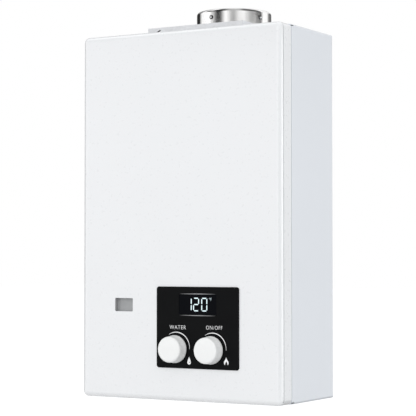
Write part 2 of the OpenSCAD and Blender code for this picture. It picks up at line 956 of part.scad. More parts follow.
// Tapered hood from the heat exchanger up to the fan housing
module smoke_hood() {
  half = hx_w / 2;
  top = hood_top_w / 2;
  rise = fan_bottom_z - jacket_top_z;
  color("lightgray")
    difference() {
      forward(hx_back, hx_front_f)
        translate([0, jacket_top_z])
          polygon([[-half, 0], [half, 0], [fan_x + top, rise], [fan_x - top, rise]]);
      forward(hx_back + sheet, hx_front_f - sheet)
        translate([0, jacket_top_z])
          polygon([
            [sheet - half, -eps], [half - sheet, -eps], [fan_x + top - sheet, rise - sheet],
            [fan_x - top + sheet, rise - sheet]
          ]);
      hood_hole(fan_bottom_z - sheet - eps, fan_bottom_z + eps);
    }
}

module pressure_switch() {
  color("ivory") {
    rod_x(fan_left - switch_t, fan_left, hx_mid_f, wheel_z, switch_r);
    rod_x(fan_left - 2 * switch_t, fan_left - switch_t, hx_mid_f, wheel_z, 3);
  }
}

module combustion_jacket() {
  half = hx_w / 2;
  color("peru")
    difference() {
      block([-half, half], [hx_back, hx_front_f], [jacket_z, jacket_top_z]);
      block([jacket_t - half, half - jacket_t], [hx_back + jacket_t, hx_front_f - jacket_t],
        [jacket_z - eps, jacket_top_z + eps]);
      for (i = [0 : tube_count - 1])
        rod_x(-half - eps, half + eps, tube_f(i), tube_z, tube_r + run_fit);
      for (x = [electrode_x, sensor_x])
        rod_y(x, electrode_z, hx_front_f - 2 * jacket_t, hx_front_f + eps, electrode_r + seat_fit);
    }
}

module fin_stack() {
  color("peru")
    for (i = [0 : fin_count - 1]) {
      x = (i - (fin_count - 1) / 2) * fin_pitch;
      difference() {
        block([x - fin_t / 2, x + fin_t / 2], [hx_mid_f - fin_d / 2, hx_mid_f + fin_d / 2],
          [fin_z, fin_z + fin_h]);
        for (k = [0 : tube_count - 1])
          rod_x(x - fin_t, x + fin_t, tube_f(k), tube_z, tube_r + run_fit);
      }
    }
}

// Straight tubes joined by return bends, in at the left of the back tube, out at the right
module fin_tubes() {
  color("chocolate") {
    for (i = [0 : tube_count - 1])
      translate(at(-tube_end, tube_f(i), tube_z))
        rotate([0, 90, 0])
          linear_extrude(2 * tube_end)
            tube_section(tube_r);
    for (i = [0 : tube_count - 2])
      translate(at((i % 2 == 0 ? 1 : -1) * tube_end, (tube_f(i) + tube_f(i + 1)) / 2, tube_z))
        rotate([0, 0, i % 2 == 0 ? -90 : 90])
          rotate_extrude(angle = 180)
            translate([tube_pitch / 2, 0])
              tube_section(tube_r);
  }
}

// Cold water goes once round the jacket and up to the first tube
module jacket_coil() {
  color("chocolate")
    pipe([
      at(-coil_x, column_f, riser_z), at(-coil_x, column_f, coil_z),
      at(-coil_x, coil_front_f, coil_z), at(coil_x, coil_front_f, coil_z),
      at(coil_x, coil_back_f, coil_z), at(-coil_out_x, coil_back_f, coil_z),
      at(-coil_out_x, coil_back_f, tube_z), at(-coil_out_x, first_tube_f, tube_z),
      at(-tube_end, first_tube_f, tube_z)
    ], pipe_r);
}

module overheat_thermostat() {
  z = jacket_top_z - thermostat_drop;
  face_f = hx_front_f + thermostat_h;
  tab = thermostat_r / 4.5;
  color("ivory") {
    rod_y(thermostat_x, z, hx_front_f, face_f, thermostat_r);
    for (side = [-1, 1])
      block([thermostat_x + 2 * tab * side - tab, thermostat_x + 2 * tab * side + tab],
        [face_f, face_f + thermostat_tab], [z - sheet / 2, z + sheet / 2]);
  }
}

// Two channels that hold the heat exchanger off the casing's back
module jacket_brackets() {
  color("silver")
    for (z = [jacket_z + strap_low, jacket_top_z - strap_high])
      difference() {
        block([-strap_w / 2, strap_w / 2], [sheet, hx_back], [z, z + strap_h]);
        block([-strap_w / 2 + strap_t, strap_w / 2 - strap_t], [sheet + strap_t, hx_back - strap_t],
          [z - eps, z + strap_h + eps]);
      }
}

module burner_tray() {
  half = hx_w / 2;
  color("silver")
    difference() {
      block([-half, half], [hx_back, hx_front_f], [tray_z, jacket_z]);
      block([sheet - half, half - sheet], [hx_back + sheet, hx_front_f - sheet],
        [tray_z + sheet, jacket_z + eps]);
      for (i = [0 : burner_count - 1])
        rod_y(burner_x(i), manifold_z, hx_front_f - 2 * sheet, hx_front_f + eps, venturi_r);
      for (i = [0 : burner_count - 2])
        block([burner_x(i) + burner_t / 2 + 1, burner_x(i + 1) - burner_t / 2 - 1],
          [hx_back + 10, hx_front_f - 10], [tray_z - eps, tray_z + sheet + eps]);
    }
}

// Row of flat burners with a gas way at the front and a flame slot on top
module burner_blades() {
  gap = 2;
  slot_t = 2;
  color("lightsteelblue")
    for (i = [0 : burner_count - 1])
      difference() {
        block([burner_x(i) - burner_t / 2, burner_x(i) + burner_t / 2],
          [hx_back + sheet + gap, hx_front_f - sheet - seat_fit],
          [tray_z + sheet, tray_z + sheet + burner_h]);
        rod_y(burner_x(i), manifold_z, hx_mid_f, hx_front_f, burner_t / 2 - 1);
        block([burner_x(i) - slot_t / 2, burner_x(i) + slot_t / 2],
          [hx_back + sheet + 3 * gap, hx_front_f - sheet - 3 * gap],
          [tray_z + sheet + burner_h - 8, tray_z + sheet + burner_h + eps]);
      }
}

// Closed tube with a boss for the gas pipe and two ears on the burner tray
module gas_manifold() {
  boss_z = manifold_z - manifold_r - manifold_boss;
  color("silver")
    difference() {
      union() {
        rod_x(-manifold_half, manifold_half, manifold_f, manifold_z, manifold_r);
        rod_z(gas_x, manifold_f, boss_z, manifold_z, pipe_r + 1);
        for (x = [-ear_x, ear_x])
          block([x - ear_w / 2, x + ear_w / 2], [hx_front_f, manifold_f],
            [manifold_z - ear_w, manifold_z + ear_w]);
      }
      rod_x(manifold_wall - manifold_half, manifold_half - manifold_wall, manifold_f, manifold_z,
        manifold_r - manifold_wall);
      rod_z(gas_x, manifold_f, boss_z - eps, manifold_z, pipe_r - tube_wall);
      for (i = [0 : burner_count - 1])
        rod_y(burner_x(i), manifold_z, hx_front_f, manifold_f, injector_r);
    }
}

module gas_injectors() {
  inside_f = manifold_f - sqrt(pow(manifold_r - manifold_wall, 2) - pow(injector_r, 2));
  color("goldenrod")
    for (i = [0 : burner_count - 1])
      difference() {
        rod_y(burner_x(i), manifold_z, hx_front_f + injector_gap, inside_f, injector_r);
        rod_y(burner_x(i), manifold_z, hx_front_f, manifold_f, injector_r / 3);
      }
}

// Spark or sensing pin in a ceramic body with a flange on the jacket's front
module electrode(x) {
  tip_f = hx_front_f - ceramic_in;
  end_f = hx_front_f + ceramic_out;
  rod_y(x, electrode_z, tip_f - pin_len, tip_f, pin_r);
  rod_y(x, electrode_z, tip_f, end_f, electrode_r);
  rod_y(x, electrode_z, hx_front_f, hx_front_f + electrode_flange_t, electrode_flange_r);
  rod_y(x, electrode_z, end_f, end_f + terminal_len, terminal_r);
}

module ignition_electrode() {
  color("ivory")
    electrode(electrode_x);
}

module flame_sensor() {
  color("ivory")
    electrode(sensor_x);
}

// Valve block with its bonnet, needle chamber, spindle bore and upright way
module valve_block(x, w) {
  difference() {
    union() {
      block([x - w / 2, x + w / 2], [valve_f, valve_front_f], [valve_bottom_z, valve_top_z]);
      rod_y(x, knob_z, valve_front_f, valve_front_f + bonnet_d, bonnet_r);
    }
    rod_y(x, knob_z, chamber_f, chamber_front_f, needle_r + run_fit);
    rod_y(x, knob_z, chamber_front_f - eps, valve_front_f + bonnet_d + eps, spindle_r + run_fit);
    rod_z(x, column_f, valve_bottom_z - eps, valve_top_z + eps, passage_r);
  }
}

module gas_valve_body() {
  color("silver")
    difference() {
      valve_block(gas_x, gas_block_w);
      rod_x(gas_face_x - eps, gas_face_x + rod_reach + rod_travel + 2, rod_f, rod_z0, rod_r + run_fit);
      rod_x(solenoid_x - 10, solenoid_x + eps, solenoid_f, solenoid_z, port_r);
    }
}

// Plunger that the spindle's screw moves to and fro across the way
module needle(x) {
  difference() {
    rod_y(x, knob_z, needle_f, needle_f + needle_len, needle_r);
    rod_y(x, knob_z, nose_f - needle_travel - 1, needle_f + needle_len + eps, nose_r + run_fit);
  }
}

module gas_needle() {
  color("goldenrod")
    needle(gas_x);
}

module water_needle() {
  color("goldenrod")
    needle(water_x);
}

module gas_solenoid() {
  bore_len = plunger_gap + plunger_len + plunger_travel + 1;
  color("dimgray")
    difference() {
      union() {
        rod_x(solenoid_x, solenoid_x + solenoid_len, solenoid_f, solenoid_z, solenoid_r);
        block([solenoid_x + 8, solenoid_x + solenoid_len - 6], [solenoid_f - 5, solenoid_f + 5],
          [solenoid_z, solenoid_z + solenoid_r + 5]);
      }
      rod_x(solenoid_x - eps, solenoid_x + bore_len, solenoid_f, solenoid_z, plunger_r + run_fit);
    }
}

module solenoid_plunger() {
  color("silver")
    rod_x(solenoid_x + plunger_gap, solenoid_x + plunger_gap + plunger_len, solenoid_f, solenoid_z,
      plunger_r);
}

// Threaded connection with a hexagon on the plate and a neck up to the valve or pipe
module fitting(x, top_z) {
  difference() {
    union() {
      rod_z(x, column_f, plate_top_z - thread_len, plate_z - seat_fit, thread_r);
      rod_z(x, column_f, plate_z - seat_fit, plate_top_z, neck_r);
      translate(at(x, column_f, plate_top_z))
        cylinder(r = hex_r, h = hex_h, $fn = 6);
      rod_z(x, column_f, plate_top_z + hex_h, top_z, fitting_r);
    }
    rod_z(x, column_f, plate_top_z - thread_len - eps, top_z + eps, way_r);
  }
}

module gas_inlet_fitting() {
  color("goldenrod")
    fitting(gas_x, valve_bottom_z);
}

module cold_inlet_fitting() {
  color("goldenrod")
    fitting(water_x, valve_bottom_z);
}

module hot_outlet_fitting() {
  color("goldenrod")
    fitting(hot_x, hot_top_z);
}

module gas_pipe() {
  color("silver")
    pipe([
      at(gas_x, column_f, valve_top_z), at(gas_x, column_f, run_z), at(gas_x, manifold_f, run_z),
      at(gas_x, manifold_f, manifold_z - manifold_r - manifold_boss)
    ], pipe_r);
}

// Valve block with an arm on its left for the drain plug
module water_valve_body() {
  left_x = water_x - water_block_w / 2;
  color("darkgoldenrod")
    difference() {
      union() {
        valve_block(water_x, water_block_w);
        block([drain_x - drain_r - 4, left_x], [column_f - drain_r - 4, column_f + drain_r + 4],
          [valve_bottom_z, valve_bottom_z + drain_arm_h]);
      }
      rod_z(drain_x, column_f, valve_bottom_z - eps, valve_bottom_z + drain_depth, drain_r + run_fit);
    }
}

module diaphragm_cup() {
  color("darkgoldenrod")
    difference() {
      rod_x(cup_x, cup_x + cup_d, rod_f, rod_z0, cup_r);
      rod_x(cup_x + cup_floor, cup_x + cup_d + eps, rod_f, rod_z0, cup_r - cup_rim);
    }
}

module diaphragm_cover() {
  x = cup_x + cup_d;
  color("darkgoldenrod")
    difference() {
      rod_x(x, x + cup_d, rod_f, rod_z0, cup_r);
      rod_x(x - eps, x + cup_d - cover_floor, rod_f, rod_z0, cup_r - cup_rim);
      rod_x(x, x + cup_d + eps, rod_f, rod_z0, rod_r + run_fit);
    }
}

module diaphragm() {
  color("black")
    rod_x(diaphragm_x, diaphragm_x + diaphragm_t, rod_f, rod_z0, cup_r - cup_rim - seat_fit - 0.3);
}

module linkage_rod() {
  color("silver")
    rod_x(diaphragm_x + diaphragm_t, gas_face_x + rod_reach, rod_f, rod_z0, rod_r);
}

module cold_riser_pipe() {
  color("chocolate")
    pipe([
      at(water_x, column_f, valve_top_z), at(water_x, column_f, run_z),
      at(-coil_x, column_f, run_z), at(-coil_x, column_f, riser_z)
    ], pipe_r);
}

module hot_outlet_pipe() {
  color("chocolate")
    pipe([
      at(tube_end, last_tube_f, tube_z), at(hot_x, last_tube_f, tube_z),
      at(hot_x, last_tube_f, hot_elbow_z), at(hot_x, column_f, hot_elbow_z),
      at(hot_x, column_f, hot_top_z)
    ], pipe_r);
}

// Plug that is screwed into the water valve from below, with a knurled cap under the plate
module drain_plug() {
  cap_z = plate_z - 2 - drain_cap_h;
  ribs = 12;
  color("dimgray") {
    rod_z(drain_x, column_f, cap_z + drain_cap_h, valve_bottom_z + drain_depth - 1, drain_r);
    rod_z(drain_x, column_f, cap_z, cap_z + drain_cap_h, drain_cap_r - 1);
    translate(at(drain_x, column_f, cap_z))
      for (i = [0 : ribs - 1])
        rotate([0, 0, 360 / ribs * i])
          translate([drain_cap_r - 2, -1, 0])
            cube([2, 2, drain_cap_h]);
  }
}

// Potted electronics with a row of plug headers
module controller_box() {
  x = controller_side - case_w / 2;
  f = sheet + controller_d;
  z = [plate_top_z + 18, tray_z - controller_gap];
  color("dimgray") {
    block([x, x + controller_w], [sheet, f], z);
    for (i = [0 : header_count - 1])
      translate([x + header_h + header_pitch * i, 0, 0])
        block([0, header_w], [f - header_d - 10, f - 10], [z[1], z[1] + header_h]);
  }
}

module igniter_box() {
  x = case_w / 2 - igniter_side - igniter_w;
  z = z_bottom + igniter_up;
  color("black") {
    block([x, x + igniter_w], [sheet, sheet + igniter_d], [z, z + igniter_h]);
    for (side = [-1, 1])
      rod_z(x + igniter_w / 2 + side * igniter_pin_pitch / 2, sheet + igniter_d / 2, z + igniter_h,
        z + igniter_h + igniter_pin_h, igniter_pin_r);
  }
}

// Cable entry for the mains lead, with a hexagon above the plate and a cap below it
module power_gland() {
  color("black")
    difference() {
      union() {
        rod_z(gland_x, column_f, plate_z - 12, plate_top_z, gland_r);
        translate(at(gland_x, column_f, plate_top_z))
          cylinder(r = gland_r + 3, h = 5, $fn = 6);
        rod_z(gland_x, column_f, plate_z - 10, plate_z, gland_r + 2);
      }
      rod_z(gland_x, column_f, plate_z - 12 - eps, plate_top_z + 5 + eps, gland_bore_r);
    }
}

rear_casing();
front_cover();
cover_screws();
connection_plate();
control_panel();
display_lens();
display_module();
display_board();
display_screws();
water_knob();
gas_knob();
water_spindle();
gas_spindle();
sight_glass();
sight_glass_frame();
flue_collar();
flue_collar_screws();
fan_housing();
fan_scroll();
fan_impeller();
fan_shaft();
fan_motor();
smoke_hood();
pressure_switch();
combustion_jacket();
fin_stack();
fin_tubes();
jacket_coil();
overheat_thermostat();
jacket_brackets();
burner_tray();
burner_blades();
gas_manifold();
gas_injectors();
ignition_electrode();
flame_sensor();
gas_valve_body();
gas_needle();
gas_solenoid();
solenoid_plunger();
gas_inlet_fitting();
gas_pipe();
water_valve_body();
water_needle();
diaphragm_cup();
diaphragm_cover();
diaphragm();
linkage_rod();
cold_inlet_fitting();
hot_outlet_fitting();
cold_riser_pipe();
hot_outlet_pipe();
drain_plug();
controller_box();
igniter_box();
power_gland();
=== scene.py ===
import json
import math

import bmesh
import bpy
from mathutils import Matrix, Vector


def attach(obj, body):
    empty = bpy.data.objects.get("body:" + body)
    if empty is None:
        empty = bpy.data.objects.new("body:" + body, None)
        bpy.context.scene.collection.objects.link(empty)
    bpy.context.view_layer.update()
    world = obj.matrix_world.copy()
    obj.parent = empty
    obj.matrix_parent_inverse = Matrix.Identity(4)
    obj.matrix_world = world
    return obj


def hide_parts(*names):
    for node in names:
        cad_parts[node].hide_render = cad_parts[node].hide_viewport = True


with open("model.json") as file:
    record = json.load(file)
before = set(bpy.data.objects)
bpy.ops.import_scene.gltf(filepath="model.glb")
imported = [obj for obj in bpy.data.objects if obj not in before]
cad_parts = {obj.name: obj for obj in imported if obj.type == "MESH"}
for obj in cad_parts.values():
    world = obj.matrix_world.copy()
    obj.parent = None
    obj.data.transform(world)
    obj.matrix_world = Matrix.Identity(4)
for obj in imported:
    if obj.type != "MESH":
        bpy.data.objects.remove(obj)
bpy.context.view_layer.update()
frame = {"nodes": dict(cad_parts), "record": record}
nodes = frame["nodes"]
scene = bpy.context.scene
scene.view_settings.view_transform = "Standard"

# Sizes in millimetres, as in the part's source: f is the distance forward from the wall
MM = 0.001
CASE_W, CASE_H, CASE_D = 344.0, 550.0, 170.0
SHEET, CORNER = 1.0, 8.0
COVER_EDGE = 137.2
COVER_SCREW_X, COVER_SCREW_F = 110.0, COVER_EDGE + 5
LOW = -CASE_H / 2
TOP = CASE_H / 2
PANEL_X, PANEL_W, PANEL_H, PANEL_R = 34.0, 140.0, 120.0, 4.0
PANEL_Z = LOW + 48.5 + PANEL_H / 2
PANEL_F = CASE_D + 2.0
PANEL_EDGE = 0.8
OPENING_W, OPENING_H, OPENING_R = 132.0, 112.0, 4.0
FRAME_GAP, FRAME_WALL, FRAME_F = 0.2, 2.0, CASE_D - 8
POST_X, POST_Z, POST_R = 47.0, 15.0, 3.0
SPINDLE_HOLE_R = 3.8
DISPLAY_X, DISPLAY_W, DISPLAY_H = PANEL_X + 1.0, 64.0, 30.0
DISPLAY_Z = PANEL_Z + PANEL_H / 2 - 26
LENS_F = PANEL_F - 0.6
KNOB_Z = LOW + 76.5
KNOB_F, KNOB_H, KNOB_R, KNOB_FRONT_R = PANEL_F + 0.8, 19.0, 20.5, 19.1
VALVE_LOW = KNOB_Z - 20
WATER_X, GAS_X, HOT_X = -3.5, 58.0, 125.0
WINDOW_X, WINDOW_Z = -95.5, LOW + 140.5
WINDOW_W, WINDOW_H, WINDOW_R = 32.0, 20.0, 1.5
COLLAR_X, COLLAR_F, COLLAR_R, COLLAR_Z, COLLAR_H = 34.0, 61.0, 57.0, TOP + 11.5, 24.0
COLLAR_WALL = 0.8
COLUMN_F = 78.0
PLATE_Z = LOW + 16
PLATE_TOP = PLATE_Z + 1.5
THREAD_R, THREAD_DEEP, THREAD_PITCH, THREAD_LENGTH = 10.4, 0.9, 1.8, 21.0
FITTING_BORE_R, FITTING_NECK_R, FITTING_SEAT_R = 6.5, 9.0, 10.0
HEX_R, HEX_H, HEX_BEVEL, HEX_BEVEL_R = 15.0, 9.0, 0.8, 13.6
DRAIN_X, GLAND_X = WATER_X - 32, -115.0
GLAND_HEX_R, GLAND_HEX_H, GLAND_BORE_R = 11.0, 5.0, 3.5
SCREW_SHANK_R = 1.95
FLOOR_Z = LOW - 250
PRINT_THICK = 0.05
QUARTERS = ((1, 1), (-1, 1), (-1, -1), (1, -1))


def at(x, f, z):
    """A point in metres from millimetres across, forward from the wall and up."""
    return Vector((x * MM, -f * MM, z * MM))


def turns(steps, share=1.0, closed=True):
    """Even angles round a share of a full turn, with both ends if it isn't closed."""
    return [2 * math.pi * share * i / steps for i in range(steps if closed else steps + 1)]


# Material nodes
class Surface:
    """One procedural material: its shader, its tree and short ways to add texture to it."""

    def __init__(self, name, colour, rough, metal=0.0):
        self.mat = bpy.data.materials.new(name)
        self.mat.use_nodes = True
        self.tree = self.mat.node_tree
        self.shader = self.tree.nodes["Principled BSDF"]
        self.colour = colour
        self.rough = rough
        self.set("Base Color", (*colour, 1))
        self.set("Roughness", rough)
        self.set("Metallic", metal)

    def set(self, socket, value):
        self.shader.inputs[socket].default_value = value
        return self

    def node(self, kind, **settings):
        n = self.tree.nodes.new(kind)
        for k, v in settings.items():
            if k in n.inputs:
                n.inputs[k].default_value = v
            else:
                setattr(n, k, v)
        return n

    def link(self, a, b):
        self.tree.links.new(a, b)

    def place(self, stretch=(1, 1, 1)):
        coords = self.node("ShaderNodeTexCoord")
        mapping = self.node("ShaderNodeMapping")
        mapping.inputs["Scale"].default_value = stretch
        self.link(coords.outputs["Object"], mapping.inputs["Vector"])
        return mapping.outputs["Vector"]

    def noise(self, scale, detail=3.0, stretch=(1, 1, 1)):
        n = self.node("ShaderNodeTexNoise", Scale=scale, Detail=detail)
        self.link(self.place(stretch), n.inputs["Vector"])
        return n.outputs["Fac"]

    def cells(self, scale, stretch=(1, 1, 1)):
        n = self.node("ShaderNodeTexVoronoi", Scale=scale)
        self.link(self.place(stretch), n.inputs["Vector"])
        return n.outputs["Color"]

    def remap(self, value, low, high, start=0.25, end=0.75):
        n = self.node("ShaderNodeMapRange")
        n.inputs["From Min"].default_value = start
        n.inputs["From Max"].default_value = end
        n.inputs["To Min"].default_value = low
        n.inputs["To Max"].default_value = high
        self.link(value, n.inputs["Value"])
        return n.outputs["Result"]

    def tint(self, value, dark, light, other=None):
        """Base colour between two shades of the colour, or towards another colour."""
        n = self.node("ShaderNodeMix", data_type="RGBA")
        first = [min(1.0, c * dark) for c in self.colour]
        last = other if other else [min(1.0, c * light) for c in self.colour]
        n.inputs[6].default_value = (*first, 1)
        n.inputs[7].default_value = (*last, 1)
        self.link(value, n.inputs[0])
        self.link(n.outputs[2], self.shader.inputs["Base Color"])

    def gloss(self, value, spread):
        self.link(self.remap(value, max(0.02, self.rough - spread), self.rough + spread),
                  self.shader.inputs["Roughness"])

    def bump(self, value, depth, strength=1.0):
        n = self.node("ShaderNodeBump")
        n.inputs["Strength"].default_value = strength
        n.inputs["Distance"].default_value = depth
        self.link(value, n.inputs["Height"])
        self.link(n.outputs["Normal"], self.shader.inputs["Normal"])


def enamel(name, colour, rough=0.3):
    s = Surface(name, colour, rough)
    s.tint(s.remap(s.noise(7, 2), 0, 1), 0.996, 1.004)
    s.gloss(s.noise(240, 2), 0.01)
    s.bump(s.noise(350, 1), 0.00001, 0.012)
    s.set("Coat Weight", 0.7).set("Coat Roughness", 0.1)
    return s.mat


def zinc(name, colour, rough=0.42):
    s = Surface(name, colour, rough, 0.3)
    s.tint(s.cells(140), 0.94, 1.03)
    s.gloss(s.noise(260, 4), 0.1)
    s.bump(s.noise(420, 5), 0.00003, 0.4)
    return s.mat


def steel(name, colour, rough, stretch=(1, 1, 1), scale=900):
    s = Surface(name, colour, rough, 1.0)
    lines = s.noise(scale, 4, stretch)
    s.tint(s.remap(lines, 0, 1), 0.92, 1.06)
    s.gloss(lines, 0.05)
    s.bump(lines, 0.00001, 0.25)
    return s.mat


def moulded(name, colour, rough, grain=2600, depth=0.00002, vary=0.04, shine=0.5):
    s = Surface(name, colour, rough).set("Specular IOR Level", shine)
    s.tint(s.remap(s.noise(35, 3), 0, 1), 1 - vary, 1 + vary)
    s.gloss(s.noise(grain / 4, 3), 0.06)
    s.bump(s.noise(grain, 2), depth, 0.5)
    return s.mat


def red_metal(name, colour, tarnish, rough):
    s = Surface(name, colour, rough, 1.0)
    s.tint(s.remap(s.noise(45, 5), 0, 1, 0.35, 0.8), 1.0, 1.0, tarnish)
    s.gloss(s.noise(320, 4), 0.1)
    s.bump(s.noise(700, 3), 0.00002, 0.3)
    return s.mat


def board():
    s = Surface("circuit_board", (0.05, 0.22, 0.10), 0.4)
    n = s.node("ShaderNodeTexBrick", Scale=160.0)
    n.inputs["Color1"].default_value = (0.05, 0.22, 0.10, 1)
    n.inputs["Color2"].default_value = (0.04, 0.18, 0.08, 1)
    n.inputs["Mortar"].default_value = (0.12, 0.36, 0.18, 1)
    s.link(s.place(), n.inputs["Vector"])
    s.link(n.outputs["Color"], s.shader.inputs["Base Color"])
    s.gloss(s.noise(500, 2), 0.08)
    return s.mat


def print_ink():
    s = Surface("white_print", (0.93, 0.93, 0.93), 0.5)
    s.tint(s.remap(s.noise(800, 3), 0, 1), 0.95, 1.05)
    s.gloss(s.noise(1500, 2), 0.08)
    return s.mat


def lit():
    s = Surface("lit_segments", (0.05, 0.06, 0.07), 0.4)
    glow = s.remap(s.noise(220, 2), 1.0, 1.12)
    s.link(glow, s.shader.inputs["Emission Strength"])
    s.set("Emission Color", (0.8, 0.97, 1.0, 1))
    return s.mat


def sight():
    s = Surface("sight_glass", (0.37, 0.375, 0.38), 0.22)
    s.tint(s.remap(s.noise(60, 3), 0, 1), 0.92, 1.08)
    s.gloss(s.noise(300, 3), 0.06)
    s.set("Coat Weight", 0.4).set("Coat Roughness", 0.05)
    return s.mat


def lip_painted_highlight():
    """Half-gloss lip of the display window, with a painted highlight: brighter towards its middle."""
    s = Surface("window_lip", (0.35, 0.35, 0.36), 0.4)
    coords = s.node("ShaderNodeTexCoord")
    split = s.node("ShaderNodeSeparateXYZ")
    s.link(coords.outputs["Object"], split.inputs["Vector"])
    off = s.node("ShaderNodeMath", operation="SUBTRACT")
    off.inputs[1].default_value = DISPLAY_X * MM
    s.link(split.outputs["X"], off.inputs[0])
    size = s.node("ShaderNodeMath", operation="ABSOLUTE")
    s.link(off.outputs[0], size.inputs[0])
    # Painted highlight: the colour is full at the window's middle and nearly black towards its ends.
    s.tint(s.remap(size.outputs[0], 1, 0, 0.004, DISPLAY_W / 2 * MM), 0.05, 1.0)
    s.gloss(s.noise(900, 2), 0.06)
    return s.mat


WHITE = enamel("cover_enamel", (0.844, 0.848, 0.856), 0.28)
# The rear casing's enamel is a darker, bluer copy of the cover's white: painted shade on its sides.
CASING_SHADED_ENAMEL = enamel("casing_enamel_painted_shade", (0.75, 0.775, 0.815), 0.36)
ZINC = zinc("galvanised_sheet", (0.755, 0.76, 0.775))
STAINLESS = steel("stainless_sheet", (0.92, 0.915, 0.91), 0.1, (1, 1, 14), 500)
BRIGHT = steel("screw_steel", (0.38, 0.38, 0.39), 0.25)
SCREW_TOP = steel("bright_screw_steel", (0.8, 0.8, 0.8), 0.2)
BLACK = moulded("panel_black", (0.005, 0.0052, 0.0056), 0.34, 2200, 0.00002, 0.12, 0.045)
LENS = moulded("lens_dark", (0.002, 0.0025, 0.004), 0.1, 4000, 0.000004, 0.1, 0.045)
KNOB = moulded("knob_white", (0.89, 0.89, 0.88), 0.34, 1800, 0.00001, 0.012)
DARK = moulded("black_plastic", (0.025, 0.025, 0.028), 0.5)
IVORY = moulded("ivory_plastic", (0.70, 0.67, 0.56), 0.5)
BRASS = red_metal("turned_brass", (0.66, 0.49, 0.22), (0.45, 0.32, 0.14), 0.3)
COPPER = red_metal("copper", (0.66, 0.33, 0.19), (0.42, 0.20, 0.11), 0.34)
ALUMINIUM = steel("cast_aluminium", (0.66, 0.67, 0.68), 0.42)
MOTOR = enamel("motor_shell", (0.045, 0.045, 0.05), 0.45)
RUBBER = moulded("rubber", (0.02, 0.02, 0.02), 0.75, 1400)
CERAMIC = moulded("electrode_ceramic", (0.82, 0.79, 0.73), 0.3, 900)
BOARD = board()
INK = print_ink()
LIT = lit()
GLASS = sight()
SLEEVE = moulded("sleeve_grey", (0.40, 0.40, 0.405), 0.5)
# The window lips carry a painted highlight in their colour.
LIP_HIGHLIGHT = lip_painted_highlight()
# Grey of the strip in the cover's groove, which is painted shade there.
GROOVE_SHADE = moulded("groove_painted_shade", (0.37, 0.38, 0.39), 0.6, 1400)

SLOT_MATERIAL = {
    "cover_white": WHITE, "casing_grey": CASING_SHADED_ENAMEL, "zinc_sheet": ZINC, "stainless": STAINLESS,
    "screw_steel": BRIGHT, "panel_black": BLACK, "lens_dark": LENS, "knob_white": KNOB,
    "black_plastic": DARK, "ivory_plastic": IVORY, "board_green": BOARD, "glass": GLASS,
    "brass": BRASS, "copper": COPPER, "aluminium": ALUMINIUM, "motor_steel": MOTOR,
    "rubber": RUBBER, "ceramic": CERAMIC, "sleeve_grey": SLEEVE,
}
for row in frame["record"]["subparts"]:
    mesh = nodes[row["node"]].data
    mesh.materials.clear()
    mesh.materials.append(SLOT_MATERIAL[row["material_slot"]])


# Mesh building
def piece(name, bm, material, body="casing", stands_for=(), sharp=32):
    bmesh.ops.remove_doubles(bm, verts=bm.verts, dist=1e-7)
    bmesh.ops.recalc_face_normals(bm, faces=bm.faces)
    mesh = bpy.data.meshes.new(name)
    bm.to_mesh(mesh)
    bm.free()
    mesh.shade_smooth()
    mesh.set_sharp_from_angle(angle=math.radians(sharp))
    obj = bpy.data.objects.new(name, mesh)
    scene.collection.objects.link(obj)
    mesh.materials.append(material)
    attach(obj, body)
    if stands_for:
        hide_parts(*stands_for)
    return obj


def even_shading(obj):
    mod = obj.modifiers.new("even_shading", "WEIGHTED_NORMAL")
    mod.keep_sharp = True


def ring_of(bm, points):
    return [bm.verts.new(p) for p in points]


def skin(bm, rings, closed=True, cap_start=False, cap_end=False):
    """Quads between rings of equally many points."""
    count = len(rings[0])
    for a, b in zip(rings, rings[1:]):
        for i in range(count if closed else count - 1):
            j = (i + 1) % count
            bm.faces.new((a[i], a[j], b[j], b[i]))
    if cap_start:
        bm.faces.new(rings[0])
    if cap_end:
        bm.faces.new(rings[-1])


def lathe(bm, profile, place, steps):
    """Turns a profile of (radius, along) pairs; place(r, along, angle) gives each point."""
    rings = []
    for r, t in profile:
        angles = turns(steps) if r > 1e-6 else [0]
        rings.append(ring_of(bm, [place(r, t, a) for a in angles]))
    for a, b in zip(rings, rings[1:]):
        for i in range(steps):
            j = (i + 1) % steps
            if len(b) == 1:
                bm.faces.new((a[i], a[j], b[0]))
            else:
                bm.faces.new((a[i], a[j], b[j], b[i]))
    return rings


def forward_axis(x, z, f0):
    return lambda r, t, a: at(x + r * math.cos(a), f0 + t, z + r * math.sin(a))


def upright_axis(x, f, z0):
    return lambda r, t, a: at(x + r * math.cos(a), f + r * math.sin(a), z0 + t)


def rounded(w, h, r, steps=8):
    """Points of a rounded rectangle about the origin."""
    out = []
    for k, (sx, sz) in enumerate(QUARTERS):
        for i in range(steps + 1):
            a = math.pi / 2 * (k + i / steps)
            out.append((sx * (w / 2 - r) + r * math.cos(a), sz * (h / 2 - r) + r * math.sin(a)))
    return out


def fill_flat(bm, loops):
    """Fills the flat region between the first ring of points and the others, which are holes."""
    edges = []
    for loop in loops:
        for i, v in enumerate(loop):
            w = loop[(i + 1) % len(loop)]
            if v is w:
                continue
            e = bm.edges.get((v, w))
            edges.append(e if e else bm.edges.new((v, w)))
    bmesh.ops.triangle_fill(bm, use_beauty=True, edges=edges)


def merged(points):
    """Points without those that coincide with the one before."""
    out = []
    for p in points:
        if not out or (Vector(p) - Vector(out[-1])).length > 1e-4:
            out.append(p)
    if (Vector(out[0]) - Vector(out[-1])).length < 1e-4:
        out.pop()
    return out


def fillet(radius, steps=10):
    """Pairs of (drawn in, raised) along a quarter round."""
    return [(radius * (1 - math.cos(a)), radius * math.sin(a)) for a in turns(steps, 1 / 4, closed=False)]


def cover_ring(bm, inset, f):
    """Points round the cover, drawn in from its outline, at one distance from the wall."""
    pts = rounded(CASE_W - 2 * inset, CASE_H - 2 * inset, CORNER - inset, 10)
    return ring_of(bm, [at(x, f, z) for x, z in pts])


